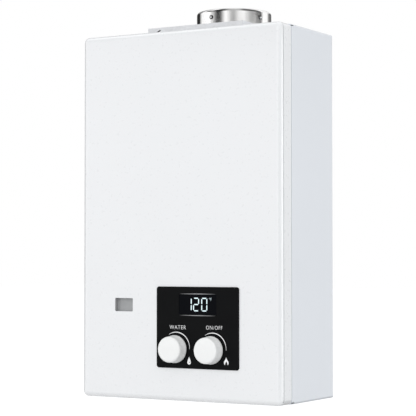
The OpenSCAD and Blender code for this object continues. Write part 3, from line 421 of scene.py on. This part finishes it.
# Front cover: a drawn tray with round edges, an outer and an inner skin, and openings
def cover():
    bm = bmesh.new()
    holes = [
        (PANEL_X, PANEL_Z, rounded(OPENING_W, OPENING_H, OPENING_R, 6)),
        (WINDOW_X, WINDOW_Z, rounded(WINDOW_W, WINDOW_H, WINDOW_R, 6)),
    ]
    round_f = CASE_D - CORNER
    chamfer = 0.3
    groove = [(0, -2.6), (0.1, -2.4), (1.6, -1.8), (1.6, -1.0), (0.1, -0.4), (0, -0.2), (0, 0)]
    outer = [cover_ring(bm, 0, COVER_EDGE + chamfer)]
    outer += [cover_ring(bm, inset, round_f + f) for inset, f in groove]
    rim = cover_ring(bm, chamfer, COVER_EDGE)
    rim_in = cover_ring(bm, SHEET, COVER_EDGE)
    inner = [cover_ring(bm, SHEET + inset, round_f + f) for inset, f in groove]
    outer += [cover_ring(bm, inset, round_f + rise) for inset, rise in fillet(CORNER, 14)[1:-1]]
    inner += [cover_ring(bm, SHEET + inset, round_f + rise) for inset, rise in fillet(CORNER - SHEET)[1:-1]]
    skin(bm, [*reversed(inner), rim_in, rim, *outer])

    # The flat front has a narrow border strip, so that its long triangles don't shade the round edge
    flat_w, flat_h = CASE_W - 2 * CORNER, CASE_H - 2 * CORNER
    fill_w, fill_h = flat_w - 4, flat_h - 4
    fronts = (CASE_D, CASE_D - SHEET)
    for last, f in zip((outer[-1], inner[-1]), fronts):
        strip = [ring_of(bm, [at(x, f, z) for x, z in rounded(w, h, 0.001, 10)])
                 for w, h in ((flat_w, flat_h), (fill_w, fill_h))]
        skin(bm, [last, *strip])
    bmesh.ops.remove_doubles(bm, verts=bm.verts, dist=2e-6)
    bm.verts.ensure_lookup_table()
    hole_rings = []
    for f in fronts:
        corners = [at(sx * fill_w / 2, f, sz * fill_h / 2) for sx, sz in QUARTERS]
        border = [min(bm.verts, key=lambda v: (v.co - p).length) for p in corners]
        rings = [ring_of(bm, [at(cx + x, f, cz + z) for x, z in merged(loop)]) for cx, cz, loop in holes]
        fill_flat(bm, [border, *rings])
        hole_rings.append(rings)
    for a, b in zip(*hole_rings):
        skin(bm, [a, b])
    even_shading(piece("front_cover_shell", bm, WHITE, stands_for=["front_cover"]))


# Dark grey strip in the groove of the cover: painted shade that darkens the groove
def groove_shade_strip():
    bm = bmesh.new()
    section = ((1.5, -1.85), (0.5, -1.9), (0.3, -1.6), (0.3, -1.2), (0.5, -0.9), (1.5, -0.95))
    rings = [cover_ring(bm, inset, CASE_D - CORNER + f) for inset, f in section]
    skin(bm, [*rings, rings[0]])
    piece("cover_groove_bead", bm, GROOVE_SHADE)


# Control panel: fascia with a rounded edge, window and spindle holes, rear frame and posts
def panel():
    bm = bmesh.new()

    def level(inset, f):
        pts = rounded(PANEL_W - 2 * inset, PANEL_H - 2 * inset, PANEL_R - inset, 8)
        return ring_of(bm, [at(PANEL_X + x, f, PANEL_Z + z) for x, z in pts])

    rings = [level(0, CASE_D), level(0, PANEL_F - PANEL_EDGE)]
    for inset, rise in fillet(PANEL_EDGE, 4)[1:]:
        rings.append(level(inset, PANEL_F - PANEL_EDGE + rise))
    skin(bm, rings)

    def holes(f):
        window = [at(DISPLAY_X + x, f, DISPLAY_Z + z)
                  for x, z in merged(rounded(DISPLAY_W, DISPLAY_H, 1.5, 4))]
        spindles = [[at(cx + SPINDLE_HOLE_R * math.cos(a), f, KNOB_Z + SPINDLE_HOLE_R * math.sin(a))
                     for a in turns(32)] for cx in (WATER_X, GAS_X)]
        return [ring_of(bm, points) for points in (window, *spindles)]

    front = holes(PANEL_F)
    back = holes(CASE_D)
    fill_flat(bm, [rings[-1], *front])
    fill_flat(bm, [rings[0], *back])
    for a, b in zip(front, back):
        skin(bm, [a, b])

    frame_w, frame_h = OPENING_W - 2 * FRAME_GAP, OPENING_H - 2 * FRAME_GAP
    walls = ((frame_w, frame_h, 4), (frame_w - 2 * FRAME_WALL, frame_h - 2 * FRAME_WALL, 2))
    loops = [[ring_of(bm, [at(PANEL_X + x, f, PANEL_Z + z) for x, z in rounded(w, h, r, 4)])
              for w, h, r in walls] for f in (CASE_D, FRAME_F)]
    (a, b), (c, d) = loops
    skin(bm, [a, c, d, b])
    post = [(POST_R, 0), (POST_R, CASE_D - FRAME_F), (0, CASE_D - FRAME_F)]
    for x in (-POST_X, POST_X):
        for z in (-POST_Z, POST_Z):
            lathe(bm, post, forward_axis(DISPLAY_X + x, DISPLAY_Z + z, FRAME_F), 24)
    even_shading(piece("panel_fascia", bm, BLACK, stands_for=["control_panel"]))


# Half-round lips above and below the display window, thinner towards their ends
def window_lips():
    bm = bmesh.new()
    radius = 0.55
    for z in (DISPLAY_Z + DISPLAY_H / 2 + radius, DISPLAY_Z - DISPLAY_H / 2 - 2 * radius):
        rings = []
        for i in range(25):
            s = i / 24 * 2 - 1
            r = radius * math.sqrt(max(0.02, 1 - s ** 6))
            x = DISPLAY_X + s * (DISPLAY_W / 2 - 1)
            rings.append(ring_of(bm, [at(x, PANEL_F - 0.05 + 0.45 * r * math.sin(a), z + r * math.cos(a))
                                      for a in turns(8, 1 / 2, closed=False)]))
        skin(bm, rings, closed=False)
    piece("window_lips", bm, LIP_HIGHLIGHT)


def slab(bm, outline, f, holes=()):
    """Thin print on a flat face: an outline of (x, z) points in millimetres, with holes."""
    top = f + PRINT_THICK
    fill_flat(bm, [ring_of(bm, [at(x, top, z) for x, z in loop]) for loop in (outline, *holes)])
    for loop in (outline, *holes):
        skin(bm, [ring_of(bm, [at(x, level, z) for x, z in loop]) for level in (top, f)])


# Seven-segment number and its degree mark behind the window
def digits():
    bm = bmesh.new()
    tall, wide, t, gap = 20.0, 10.2, 1.62, 0.6
    mid_z = DISPLAY_Z + 0.1

    def segment(x0, z0, x1, z1):
        d = Vector((x1 - x0, z1 - z0)).normalized()
        n = Vector((-d.y, d.x)) * t / 2
        a = Vector((x0, z0)) + d * gap
        b = Vector((x1, z1)) - d * gap
        pts = [a, a + d * t / 2 + n, b - d * t / 2 + n, b, b - d * t / 2 - n, a + d * t / 2 - n]
        slab(bm, [tuple(p) for p in pts], LENS_F)

    def digit(cx, which):
        l, r = cx - wide / 2 + t / 2, cx + wide / 2 - t / 2
        b, m, u = mid_z - tall / 2 + t / 2, mid_z, mid_z + tall / 2 - t / 2
        lines = {"a": (l, u, r, u), "b": (r, m, r, u), "c": (r, b, r, m), "d": (l, b, r, b),
                 "e": (l, b, l, m), "f": (l, m, l, u), "g": (l, m, r, m)}
        for k in which:
            segment(*lines[k])

    mid = PANEL_X + 2.2
    digit(mid - 16.5, "bc")
    digit(mid - 3.95, "abged")
    digit(mid + 10.0, "abcdef")
    rx, rz = mid + 19.2, mid_z + tall / 2 - 1.2
    rim, hole = [[(rx + r * math.cos(a), rz + r * math.sin(a)) for a in turns(20)] for r in (0.9, 0.6)]
    slab(bm, rim, LENS_F, holes=[hole])
    fx = rx + 1.6
    letter = [(0, -3.2), (0.3, -3.2), (0.3, -1.1), (1.5, -1.1), (1.5, -0.8), (0.3, -0.8), (0.3, 0.7),
              (1.8, 0.7), (1.8, 1.0), (0, 1.0)]
    slab(bm, [(fx + x, rz + z) for x, z in letter], LENS_F)
    piece("lit_digits", bm, LIT)


# Printed arcs, which swell towards their middle, drop and flame
def prints():
    bm = bmesh.new()
    arc_r, arc_start, arc_sweep = 23.0, 123, 127
    for cx in (WATER_X + 2.0, GAS_X + 2.3):
        outer, inner = [], []
        for i in range(49):
            s = i / 48
            a = math.radians(arc_start - arc_sweep * s)
            half = 0.2 + 0.45 * math.sin(math.pi * s ** 0.9)
            for side, r in ((outer, arc_r + half), (inner, arc_r - half)):
                side.append((cx + r * math.cos(a), KNOB_Z + 2 + r * math.sin(a)))
        slab(bm, outer + inner[::-1], PANEL_F)
    dx, dz = WATER_X + 24.2, LOW + 60.3
    drop = [(dx + 4.4 * math.sin(a) * math.sin(a / 2) ** 1.6, dz + 5.8 * math.cos(a)) for a in turns(40)]
    glint = [(dx + 1.3 + 0.5 * math.cos(a) + 0.6 * math.sin(a), dz - 2.3 + 1.6 * math.sin(a))
             for a in turns(16)]
    slab(bm, drop, PANEL_F, holes=[glint])
    fx, fz = GAS_X + 25.5, LOW + 61.3
    flame = [(-2.4, -5.7), (-3.6, -4.8), (-4.4, -3.0), (-4.3, -1.0), (-3.4, 0.8), (-2.0, 2.2), (-1.0, 3.8),
             (-0.2, 6.0), (0.5, 4.2), (1.6, 2.4), (3.2, 0.9), (4.2, -1.0), (4.4, -3.0), (3.6, -4.8),
             (2.4, -5.7), (2.3, -4.0), (1.7, -2.2), (0.2, -0.3), (-1.3, -2.2), (-2.1, -4.0)]
    slab(bm, [(fx + 0.88 * x, fz + z) for x, z in flame], PANEL_F)
    piece("panel_prints", bm, INK)


def word(name, text, x, z, cap, width):
    """Plain lettering on the panel, as a mesh of the given cap height and width."""
    curve = bpy.data.curves.new(name + "_curve", "FONT")
    curve.body = text
    curve.resolution_u = 6
    curve.offset = -0.011
    curve.space_character = 1.15
    holder = bpy.data.objects.new(name + "_holder", curve)
    scene.collection.objects.link(holder)
    bpy.context.view_layer.update()
    mesh = bpy.data.meshes.new_from_object(holder.evaluated_get(bpy.context.evaluated_depsgraph_get()))
    bpy.data.objects.remove(holder)
    bpy.data.curves.remove(curve)
    xs = [v.co.x for v in mesh.vertices]
    ys = [v.co.y for v in mesh.vertices]
    for v in mesh.vertices:
        u = (v.co.x - min(xs)) / (max(xs) - min(xs)) - 0.5
        w = (v.co.y - min(ys)) / (max(ys) - min(ys)) - 0.5
        v.co = at(x + u * width, PANEL_F + PRINT_THICK, z + w * cap)
    mesh.materials.clear()
    mesh.materials.append(INK)
    obj = bpy.data.objects.new(name, mesh)
    scene.collection.objects.link(obj)
    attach(obj, "casing")


# Knob: skirt, sloping side, round edge and slightly domed face, hollow behind with its hub
def knob(name, x, body, node):
    bm = bmesh.new()
    edge_r = 3.2
    flat_r = KNOB_FRONT_R - edge_r
    inside = KNOB_R - 2
    crown = 0.5
    hub_bore_r, hub_r, hub_h = 3.05, 6, 3
    edge = [(flat_r + edge_r * math.cos(a), KNOB_H - crown - edge_r + edge_r * math.sin(a))
            for a in turns(10, 1 / 4, closed=False)]
    dome = [(flat_r * s, KNOB_H - crown * s ** 2) for s in (0.75, 0.5, 0.25, 0)]
    profile = [(hub_bore_r, KNOB_H - 4), (hub_bore_r, 0), (hub_r, 0), (hub_r, hub_h), (inside, hub_h),
               (inside, 0.2), (inside + 0.4, 0), (KNOB_R - 0.3, 0), (KNOB_R, 0.4), (KNOB_R, 2.2),
               (KNOB_R - 0.2, 2.9), (KNOB_R - 0.5, 3.4), *edge, *dome]
    rings = lathe(bm, profile, forward_axis(x, KNOB_Z, KNOB_F), 96)
    bm.faces.new(rings[0])
    piece(name, bm, KNOB, body, [node], 40)


# Flue collar: base flange turned inward, wall, rolled rim and a lapped upright seam
def collar():
    bm = bmesh.new()
    inner = COLLAR_R - COLLAR_WALL
    flange_r = inner - 4.5
    roll_in, roll_up = 3.0, 4.2
    roll_r, roll_z = COLLAR_R - roll_in, COLLAR_H - roll_up
    quarter = turns(12, 1 / 4, closed=False)
    rim = [(roll_r + roll_in * math.cos(a), roll_z + roll_up * math.sin(a)) for a in quarter]
    under = [(roll_r + (roll_in - COLLAR_WALL) * math.cos(a), roll_z + (roll_up - COLLAR_WALL) * math.sin(a))
             for a in reversed(quarter)]
    profile = [(flange_r, 0), (COLLAR_R - 0.6, 0), (COLLAR_R, 0.6), (COLLAR_R, 0.9), (COLLAR_R, roll_z - 0.3),
               *rim, *under, (inner, roll_z - 0.3), (inner, 1.7), (inner, 1.4), (inner - 0.6, COLLAR_WALL),
               (flange_r, COLLAR_WALL), (flange_r, 0)]
    place = upright_axis(COLLAR_X, COLLAR_F, COLLAR_Z)
    lathe(bm, profile, place, 128)
    lap = ((-1.75, -0.2), (-1.748, 0.5), (-1.7, 0.5), (-1.6, 0.45), (-1.55, -0.2))
    skin(bm, [ring_of(bm, [place(COLLAR_R + rise, z, a) for a, rise in lap]) for z in (1.0, COLLAR_H - 4)],
         closed=False)
    even_shading(piece("flue_collar_ring", bm, STAINLESS, stands_for=["flue_collar"],
                       sharp=50))


def pan_head(bm, place, radius, height, length):
    """Domed screw head with a cross recess cut as a star, and a plain shank."""
    steps = 24
    skirt = 0.25 * height
    dome = [(radius * math.cos(a), skirt + (height - skirt) * math.sin(a)) for a in turns(6, 1 / 4)]
    profile = [(SCREW_SHANK_R, -length), (SCREW_SHANK_R, 0), (radius, 0), (radius, skirt), *dome[1:]]
    lathe(bm, profile, place, steps)
    rim_r, top = dome[-1]
    star = (0.95, 0.5, 0.3, 0.3, 0.3, 0.5)
    star_floor = (0.85, 0.4, 0.2, 0.2, 0.2, 0.4)
    rings = [ring_of(bm, [place(rim_r * shares[i % 6], z, a) for i, a in enumerate(turns(steps))])
             for shares, z in (([1] * 6, top), (star, top), (star_floor, top - 0.45 * height))]
    skin(bm, rings, cap_end=True)


# Four screws round the collar, in two pairs, with dark rubber rings under their heads, which are painted shade
# round each head
def collar_screws():
    bm = bmesh.new()
    shade_seals = bmesh.new()
    up = Vector((0, 0, 1))
    pair_middles, pair_half = (33, 213), 40.5
    for angle in [middle + side for middle in pair_middles for side in (-pair_half, pair_half)]:
        turn = math.radians(angle - 90)
        out = Vector((math.cos(turn), math.sin(turn), 0))
        side = Vector((-out.y, out.x, 0))
        base = at(COLLAR_X, COLLAR_F, COLLAR_Z + COLLAR_H / 2) + out * COLLAR_R * MM

        def place(r, t, a, out=out, side=side, base=base):
            return base + (out * t + side * r * math.cos(a) + up * r * math.sin(a)) * MM

        pan_head(bm, place, 2.1, 2.0, COLLAR_WALL)
        # Dark rubber ring under the head: painted shade round the screw head.
        lathe(shade_seals, [(2.1, 0), (3.2, 0), (3.2, 0.6), (2.9, 0.9), (2.1, 0.9)], place, 24)
    piece("flue_collar_seals", shade_seals, RUBBER)
    piece("flue_collar_screw_heads", bm, SCREW_TOP, stands_for=["flue_collar_screws"])


# Two screws that hold the cover from below
def cover_screws():
    bm = bmesh.new()
    for x in (-COVER_SCREW_X, COVER_SCREW_X):
        def place(r, t, a, x=x):
            return at(x + r * math.cos(a), COVER_SCREW_F + r * math.sin(a), LOW - t)

        pan_head(bm, place, 4.0, 1.2, 8)
    piece("cover_screw_heads", bm, BRIGHT, stands_for=["cover_screws"])


def hexagon(radius, a):
    """Distance from the axis to a hexagon's side, at one angle, for a corner radius."""
    return radius * math.cos(math.pi / 6) / math.cos((a % (math.pi / 3)) - math.pi / 6)


# Threaded fitting: screw thread below the plate, chamfered hexagon and neck above it
def fitting(name, x, top, node):
    bm = bmesh.new()
    low, high = PLATE_TOP - THREAD_LENGTH, PLATE_Z - 0.2
    place = upright_axis(x, COLUMN_F, 0)
    steps = 48

    def ring(r, z):
        return ring_of(bm, [place(r, z, a) for a in turns(steps)])

    def thread_ring(z):
        lead = min(1, (z - low) / 1.6)
        points = []
        for i, a in enumerate(turns(steps)):
            wave = abs(2 * ((z / THREAD_PITCH - i / steps) % 1) - 1)
            points.append(place(THREAD_R - THREAD_DEEP * wave - 0.8 * (1 - lead), z, a))
        return ring_of(bm, points)

    def hex_ring(z, limit=HEX_R):
        return ring_of(bm, [place(min(hexagon(HEX_R, a), limit), z, a) for a in turns(steps)])

    count = int((high - low) / THREAD_PITCH * 8)
    thread = [thread_ring(low + (high - low) * k / count) for k in range(count + 1)]
    bore_low = ring(FITTING_BORE_R, low)
    bore_top = ring(FITTING_BORE_R, top)
    neck = ring(FITTING_SEAT_R, high)
    skin(bm, [bore_top, bore_low, *thread, neck])
    plate = ring(FITTING_SEAT_R, PLATE_TOP)
    hex_top = PLATE_TOP + HEX_H
    hexes = [hex_ring(PLATE_TOP, HEX_BEVEL_R), hex_ring(PLATE_TOP + HEX_BEVEL), hex_ring(hex_top - HEX_BEVEL),
             hex_ring(hex_top, HEX_BEVEL_R)]
    upper = [ring(FITTING_NECK_R, z) for z in (hex_top, top)]
    skin(bm, [neck, plate, *hexes, *upper, bore_top])
    piece(name, bm, BRASS, stands_for=[node], sharp=28)


def fluted(bm, place, r, z, deep=0.0, flutes=12):
    """Ring of points with a number of shallow flutes, or plain."""
    return ring_of(bm, [place(r - deep * (0.5 + 0.5 * math.cos(flutes * a)), z, a) for a in turns(72)])


# Drain plug: shank and a knurled cap
def drain():
    bm = bmesh.new()
    place = upright_axis(DRAIN_X, COLUMN_F, 0)
    cap = PLATE_Z - 12
    profile = [(2, cap + 1.5), (3, cap), (6.2, cap), (7.6, cap + 0.6, 0.7), (8, cap + 1.4, 1),
               (8, cap + 8.8, 1), (7.6, cap + 9.6, 0.7), (6.6, cap + 10), (5, cap + 10), (5, VALVE_LOW + 11)]
    skin(bm, [fluted(bm, place, *row) for row in profile], cap_start=True, cap_end=True)
    piece("drain_plug_cap", bm, DARK, "drain_plug", ["drain_plug"])


# Cable gland: hexagon above the plate, ribbed dome nut below it
def gland():
    bm = bmesh.new()
    place = upright_axis(GLAND_X, COLUMN_F, 0)
    hex_top = PLATE_TOP + GLAND_HEX_H

    def ring(r, z, deep=0.0):
        return fluted(bm, place, r, z, deep, 18)

    def hex_ring(z):
        return ring_of(bm, [place(hexagon(GLAND_HEX_R, a), z, a) for a in turns(72)])

    rings = [ring(GLAND_BORE_R, hex_top), ring(GLAND_BORE_R, PLATE_Z - 11.6), ring(4.2, PLATE_Z - 12),
             ring(6.0, PLATE_Z - 12), ring(7.6, PLATE_Z - 10.6), ring(9.4, PLATE_Z - 9, 0.5),
             ring(10, PLATE_Z - 7.6, 0.7), ring(10, PLATE_Z - 0.4, 0.7), ring(9.6, PLATE_Z), ring(8, PLATE_Z),
             ring(8, PLATE_TOP), hex_ring(PLATE_TOP), hex_ring(hex_top), ring(GLAND_BORE_R, hex_top)]
    skin(bm, rings)
    piece("power_gland_body", bm, DARK, stands_for=["power_gland"])


cover()
groove_shade_strip()
panel()
window_lips()
digits()
prints()
word("label_water", "WATER", WATER_X + 4.7, LOW + 108.7, 5.6, 28)
word("label_on_off", "ON/OFF", GAS_X + 5.4, LOW + 109.3, 5.6, 27.5)
knob("water_knob_cap", WATER_X, "water_control", "water_knob")
knob("gas_knob_cap", GAS_X, "gas_control", "gas_knob")
collar()
collar_screws()
cover_screws()
fitting("gas_inlet_thread", GAS_X, VALVE_LOW, "gas_inlet_fitting")
fitting("cold_inlet_thread", WATER_X, VALVE_LOW, "cold_inlet_fitting")
fitting("hot_outlet_thread", HOT_X, PLATE_TOP + 19, "hot_outlet_fitting")
drain()
gland()


# Studio
def seen_share(tree):
    """1 for what the camera, metal and glass see, 0 for what only lights the object."""
    rays = tree.nodes.new("ShaderNodeLightPath")
    first = tree.nodes.new("ShaderNodeMath")
    first.operation = "MAXIMUM"
    second = tree.nodes.new("ShaderNodeMath")
    second.operation = "MAXIMUM"
    tree.links.new(rays.outputs["Is Camera Ray"], first.inputs[0])
    tree.links.new(rays.outputs["Is Glossy Ray"], first.inputs[1])
    tree.links.new(first.outputs[0], second.inputs[0])
    tree.links.new(rays.outputs["Is Transmission Ray"], second.inputs[1])
    return second.outputs[0]


def stage_sheet(name, rows, material, mirrored_only=True, place=(0, 0, 0)):
    """A sheet of the studio through rows of points, which may show only in what reflects it."""
    bm = bmesh.new()
    skin(bm, [ring_of(bm, row) for row in rows], closed=False)
    mesh = bpy.data.meshes.new(name)
    bm.to_mesh(mesh)
    bm.free()
    mesh.materials.append(material)
    obj = bpy.data.objects.new(name, mesh)
    scene.collection.objects.link(obj)
    obj.location = place
    if mirrored_only:
        obj.visible_camera = obj.visible_diffuse = obj.visible_shadow = obj.visible_transmission = False


def pale_floor():
    s = Surface("pale_floor", (0.62, 0.62, 0.62), 0.9)
    s.set("Specular IOR Level", 0.0).set("Emission Color", (1, 1, 1, 1))
    glow = s.node("ShaderNodeMath", operation="MULTIPLY")
    glow.inputs[1].default_value = 0.52
    s.link(seen_share(s.tree), glow.inputs[0])
    s.link(glow.outputs[0], s.shader.inputs["Emission Strength"])
    return s.mat


# Floor, well below the heater, because it hangs on a wall
stage_sheet("floor", [[at(x, f, FLOOR_Z) for f in (-20000, 6000)] for x in (-15000, 15000)], pale_floor(),
            mirrored_only=False)

# World: white where it is seen, and a soft even light where it lights
world = bpy.data.worlds.new("studio")
scene.world = world
world.use_nodes = True
tree = world.node_tree
tree.nodes.clear()
out = tree.nodes.new("ShaderNodeOutputWorld")
seen = tree.nodes.new("ShaderNodeBackground")
seen.inputs["Color"].default_value = (1, 1, 1, 1)
seen.inputs["Strength"].default_value = 1.0
soft = tree.nodes.new("ShaderNodeBackground")
soft.inputs["Color"].default_value = (0.97, 0.985, 1.0, 1)
soft.inputs["Strength"].default_value = 0.91
mix = tree.nodes.new("ShaderNodeMixShader")
tree.links.new(seen_share(tree), mix.inputs[0])
tree.links.new(soft.outputs[0], mix.inputs[1])
tree.links.new(seen.outputs[0], mix.inputs[2])
tree.links.new(mix.outputs[0], out.inputs["Surface"])


def lamp(name, place, target, size, power, colour=(1, 1, 1)):
    """A soft rectangular lamp, which isn't mirrored; its places are in metres."""
    data = bpy.data.lights.new(name, "AREA")
    data.shape = "RECTANGLE"
    data.size, data.size_y = size
    data.energy = power
    data.color = colour
    obj = bpy.data.objects.new(name, data)
    scene.collection.objects.link(obj)
    obj.location = Vector(place)
    obj.rotation_mode = "QUATERNION"
    obj.rotation_quaternion = (Vector(target) - Vector(place)).to_track_quat("-Z", "Y")
    obj.visible_glossy = False


lamp("key", (1.0, -4.3, 0.9), (0, -0.1, 0), (2.6, 2.6), 49)
lamp("top", (0.1, 0.2, 3.0), (0, -0.05, 0.2), (1.6, 0.8), 6)
lamp("side", (3.0, 0.1, -0.2), (0, -0.1, 0), (0.8, 1.6), 6.5, (0.9, 0.97, 1.0))


def glow_material(name, strength=0.0):
    """A black material that only shines, in white."""
    mat = bpy.data.materials.new(name)
    mat.use_nodes = True
    shader = mat.node_tree.nodes["Principled BSDF"]
    shader.inputs["Base Color"].default_value = (0, 0, 0, 1)
    shader.inputs["Specular IOR Level"].default_value = 0.0
    shader.inputs["Emission Color"].default_value = (1, 1, 1, 1)
    shader.inputs["Emission Strength"].default_value = strength
    return mat


def arc_rows(radius, first, last, steps, heights):
    """Upright pairs of points along an arc; the angles are in degrees from the front."""
    rows = []
    for i in range(steps + 1):
        a = math.radians(first + (last - first) * i / steps)
        rows.append([(radius * math.sin(a), -radius * math.cos(a), z) for z in heights])
    return rows


def card(name, azimuth, half, low, high, shade):
    """An upright studio card 3 m from the heater, from azimuth - half to azimuth + half in degrees."""
    stage_sheet(name, arc_rows(3, azimuth - half, azimuth + half, 6, (low, high)), glow_material(name, shade))


card("card_fillet_dark", 44, 26, -2.0, 1.2, 0.03)
card("card_fillet_bright", 113, 22, -2.0, 1.2, 3.2)
card("card_edge_bright", -48.5, 9.5, -2.0, 1.2, 2.2)
card("card_edge_dark", -105, 45, -2.0, 1.2, 0.05)
card("card_top_bright", -70, 20, 3.3, 7.0, 1.7)
card("card_rim_dark", -60, 10, 1.25, 3.3, 0.03)
card("card_top_behind", -130, 40, 0.8, 6.0, 0.3)

# Dark card that lies behind the heater, just above the floor, and darkens its lower edges
stage_sheet("floor_flag", [[at(x, f, FLOOR_Z + 10) for x in (-3000, 3000)] for f in (-100, -1200)],
            glow_material("floor_flag", 0.3))


def backdrop(name, radius, low, high, bands):
    """A distant arc of light and dark bands about the collar's axis.

    The bands are pairs of azimuth from the front, in degrees, and brightness. The heights are in
    metres from the collar's foot.
    """
    mat = glow_material(name)
    tree = mat.node_tree
    coords = tree.nodes.new("ShaderNodeTexCoord")
    split = tree.nodes.new("ShaderNodeSeparateXYZ")
    turn = tree.nodes.new("ShaderNodeMath")
    turn.operation = "ARCTAN2"
    flip = tree.nodes.new("ShaderNodeMath")
    flip.operation = "MULTIPLY"
    flip.inputs[1].default_value = -1
    share = tree.nodes.new("ShaderNodeMapRange")
    share.inputs["From Min"].default_value = -math.pi
    share.inputs["From Max"].default_value = math.pi
    ramp = tree.nodes.new("ShaderNodeValToRGB")
    stops = ramp.color_ramp.elements
    for i, (azimuth, shade) in enumerate(bands):
        place = (azimuth + 180) / 360
        stop = stops[0] if i == 0 else stops[-1] if i == len(bands) - 1 else stops.new(place)
        stop.position = place
        stop.color = (shade, shade, shade, 1)
    tree.links.new(coords.outputs["Object"], split.inputs["Vector"])
    tree.links.new(split.outputs["Y"], flip.inputs[0])
    tree.links.new(split.outputs["X"], turn.inputs[0])
    tree.links.new(flip.outputs[0], turn.inputs[1])
    tree.links.new(turn.outputs[0], share.inputs["Value"])
    tree.links.new(share.outputs["Result"], ramp.inputs["Fac"])
    tree.links.new(ramp.outputs["Color"], tree.nodes["Principled BSDF"].inputs["Emission Strength"])
    rows = arc_rows(radius, bands[0][0], bands[-1][0], 96, (low, high))
    stage_sheet(name, rows, mat, place=at(COLLAR_X, COLLAR_F, COLLAR_Z))


# Bright and dark panels that the collar's wall mirrors, and higher ones for its rim
backdrop("collar_backdrop", 2.9, 0.375, 0.885,
         ((-180, 0.15), (-144, 0.1), (-104, 0.0), (-88, 1.05), (-54, 1.25), (-46, 0.8), (-36, 0.5), (-26, 0.05),
          (-20, 0.0), (-14, 0.05), (-8, 0.35), (1, 1.05), (6, 1.1), (20, 0.6), (29, 0.5), (44, 1.0), (60, 1.1),
          (78, 0.5), (92, 0.33), (108, 0.05), (120, 0.05), (132, 1.1), (152, 1.05), (164, 0.2), (180, 0.15)))
backdrop("rim_backdrop", 3.0, 0.9, 11.7,
         ((-50, 0.0), (-10, 0.03), (7, 0.45), (50, 0.55), (66, 0.12), (112, 0.08), (122, 0.08)))

# Camera: to the right of the front and a little below the middle, as in the photograph
data = bpy.data.cameras.new("camera")
data.sensor_width = 36
data.lens = 133.4
data.clip_end = 100
camera = bpy.data.objects.new("camera", data)
scene.collection.objects.link(camera)
camera.location = (1.1963, -2.1109, -0.0669)
camera.rotation_euler = (math.radians(91.924), 0, math.radians(30.529))
scene.camera = camera
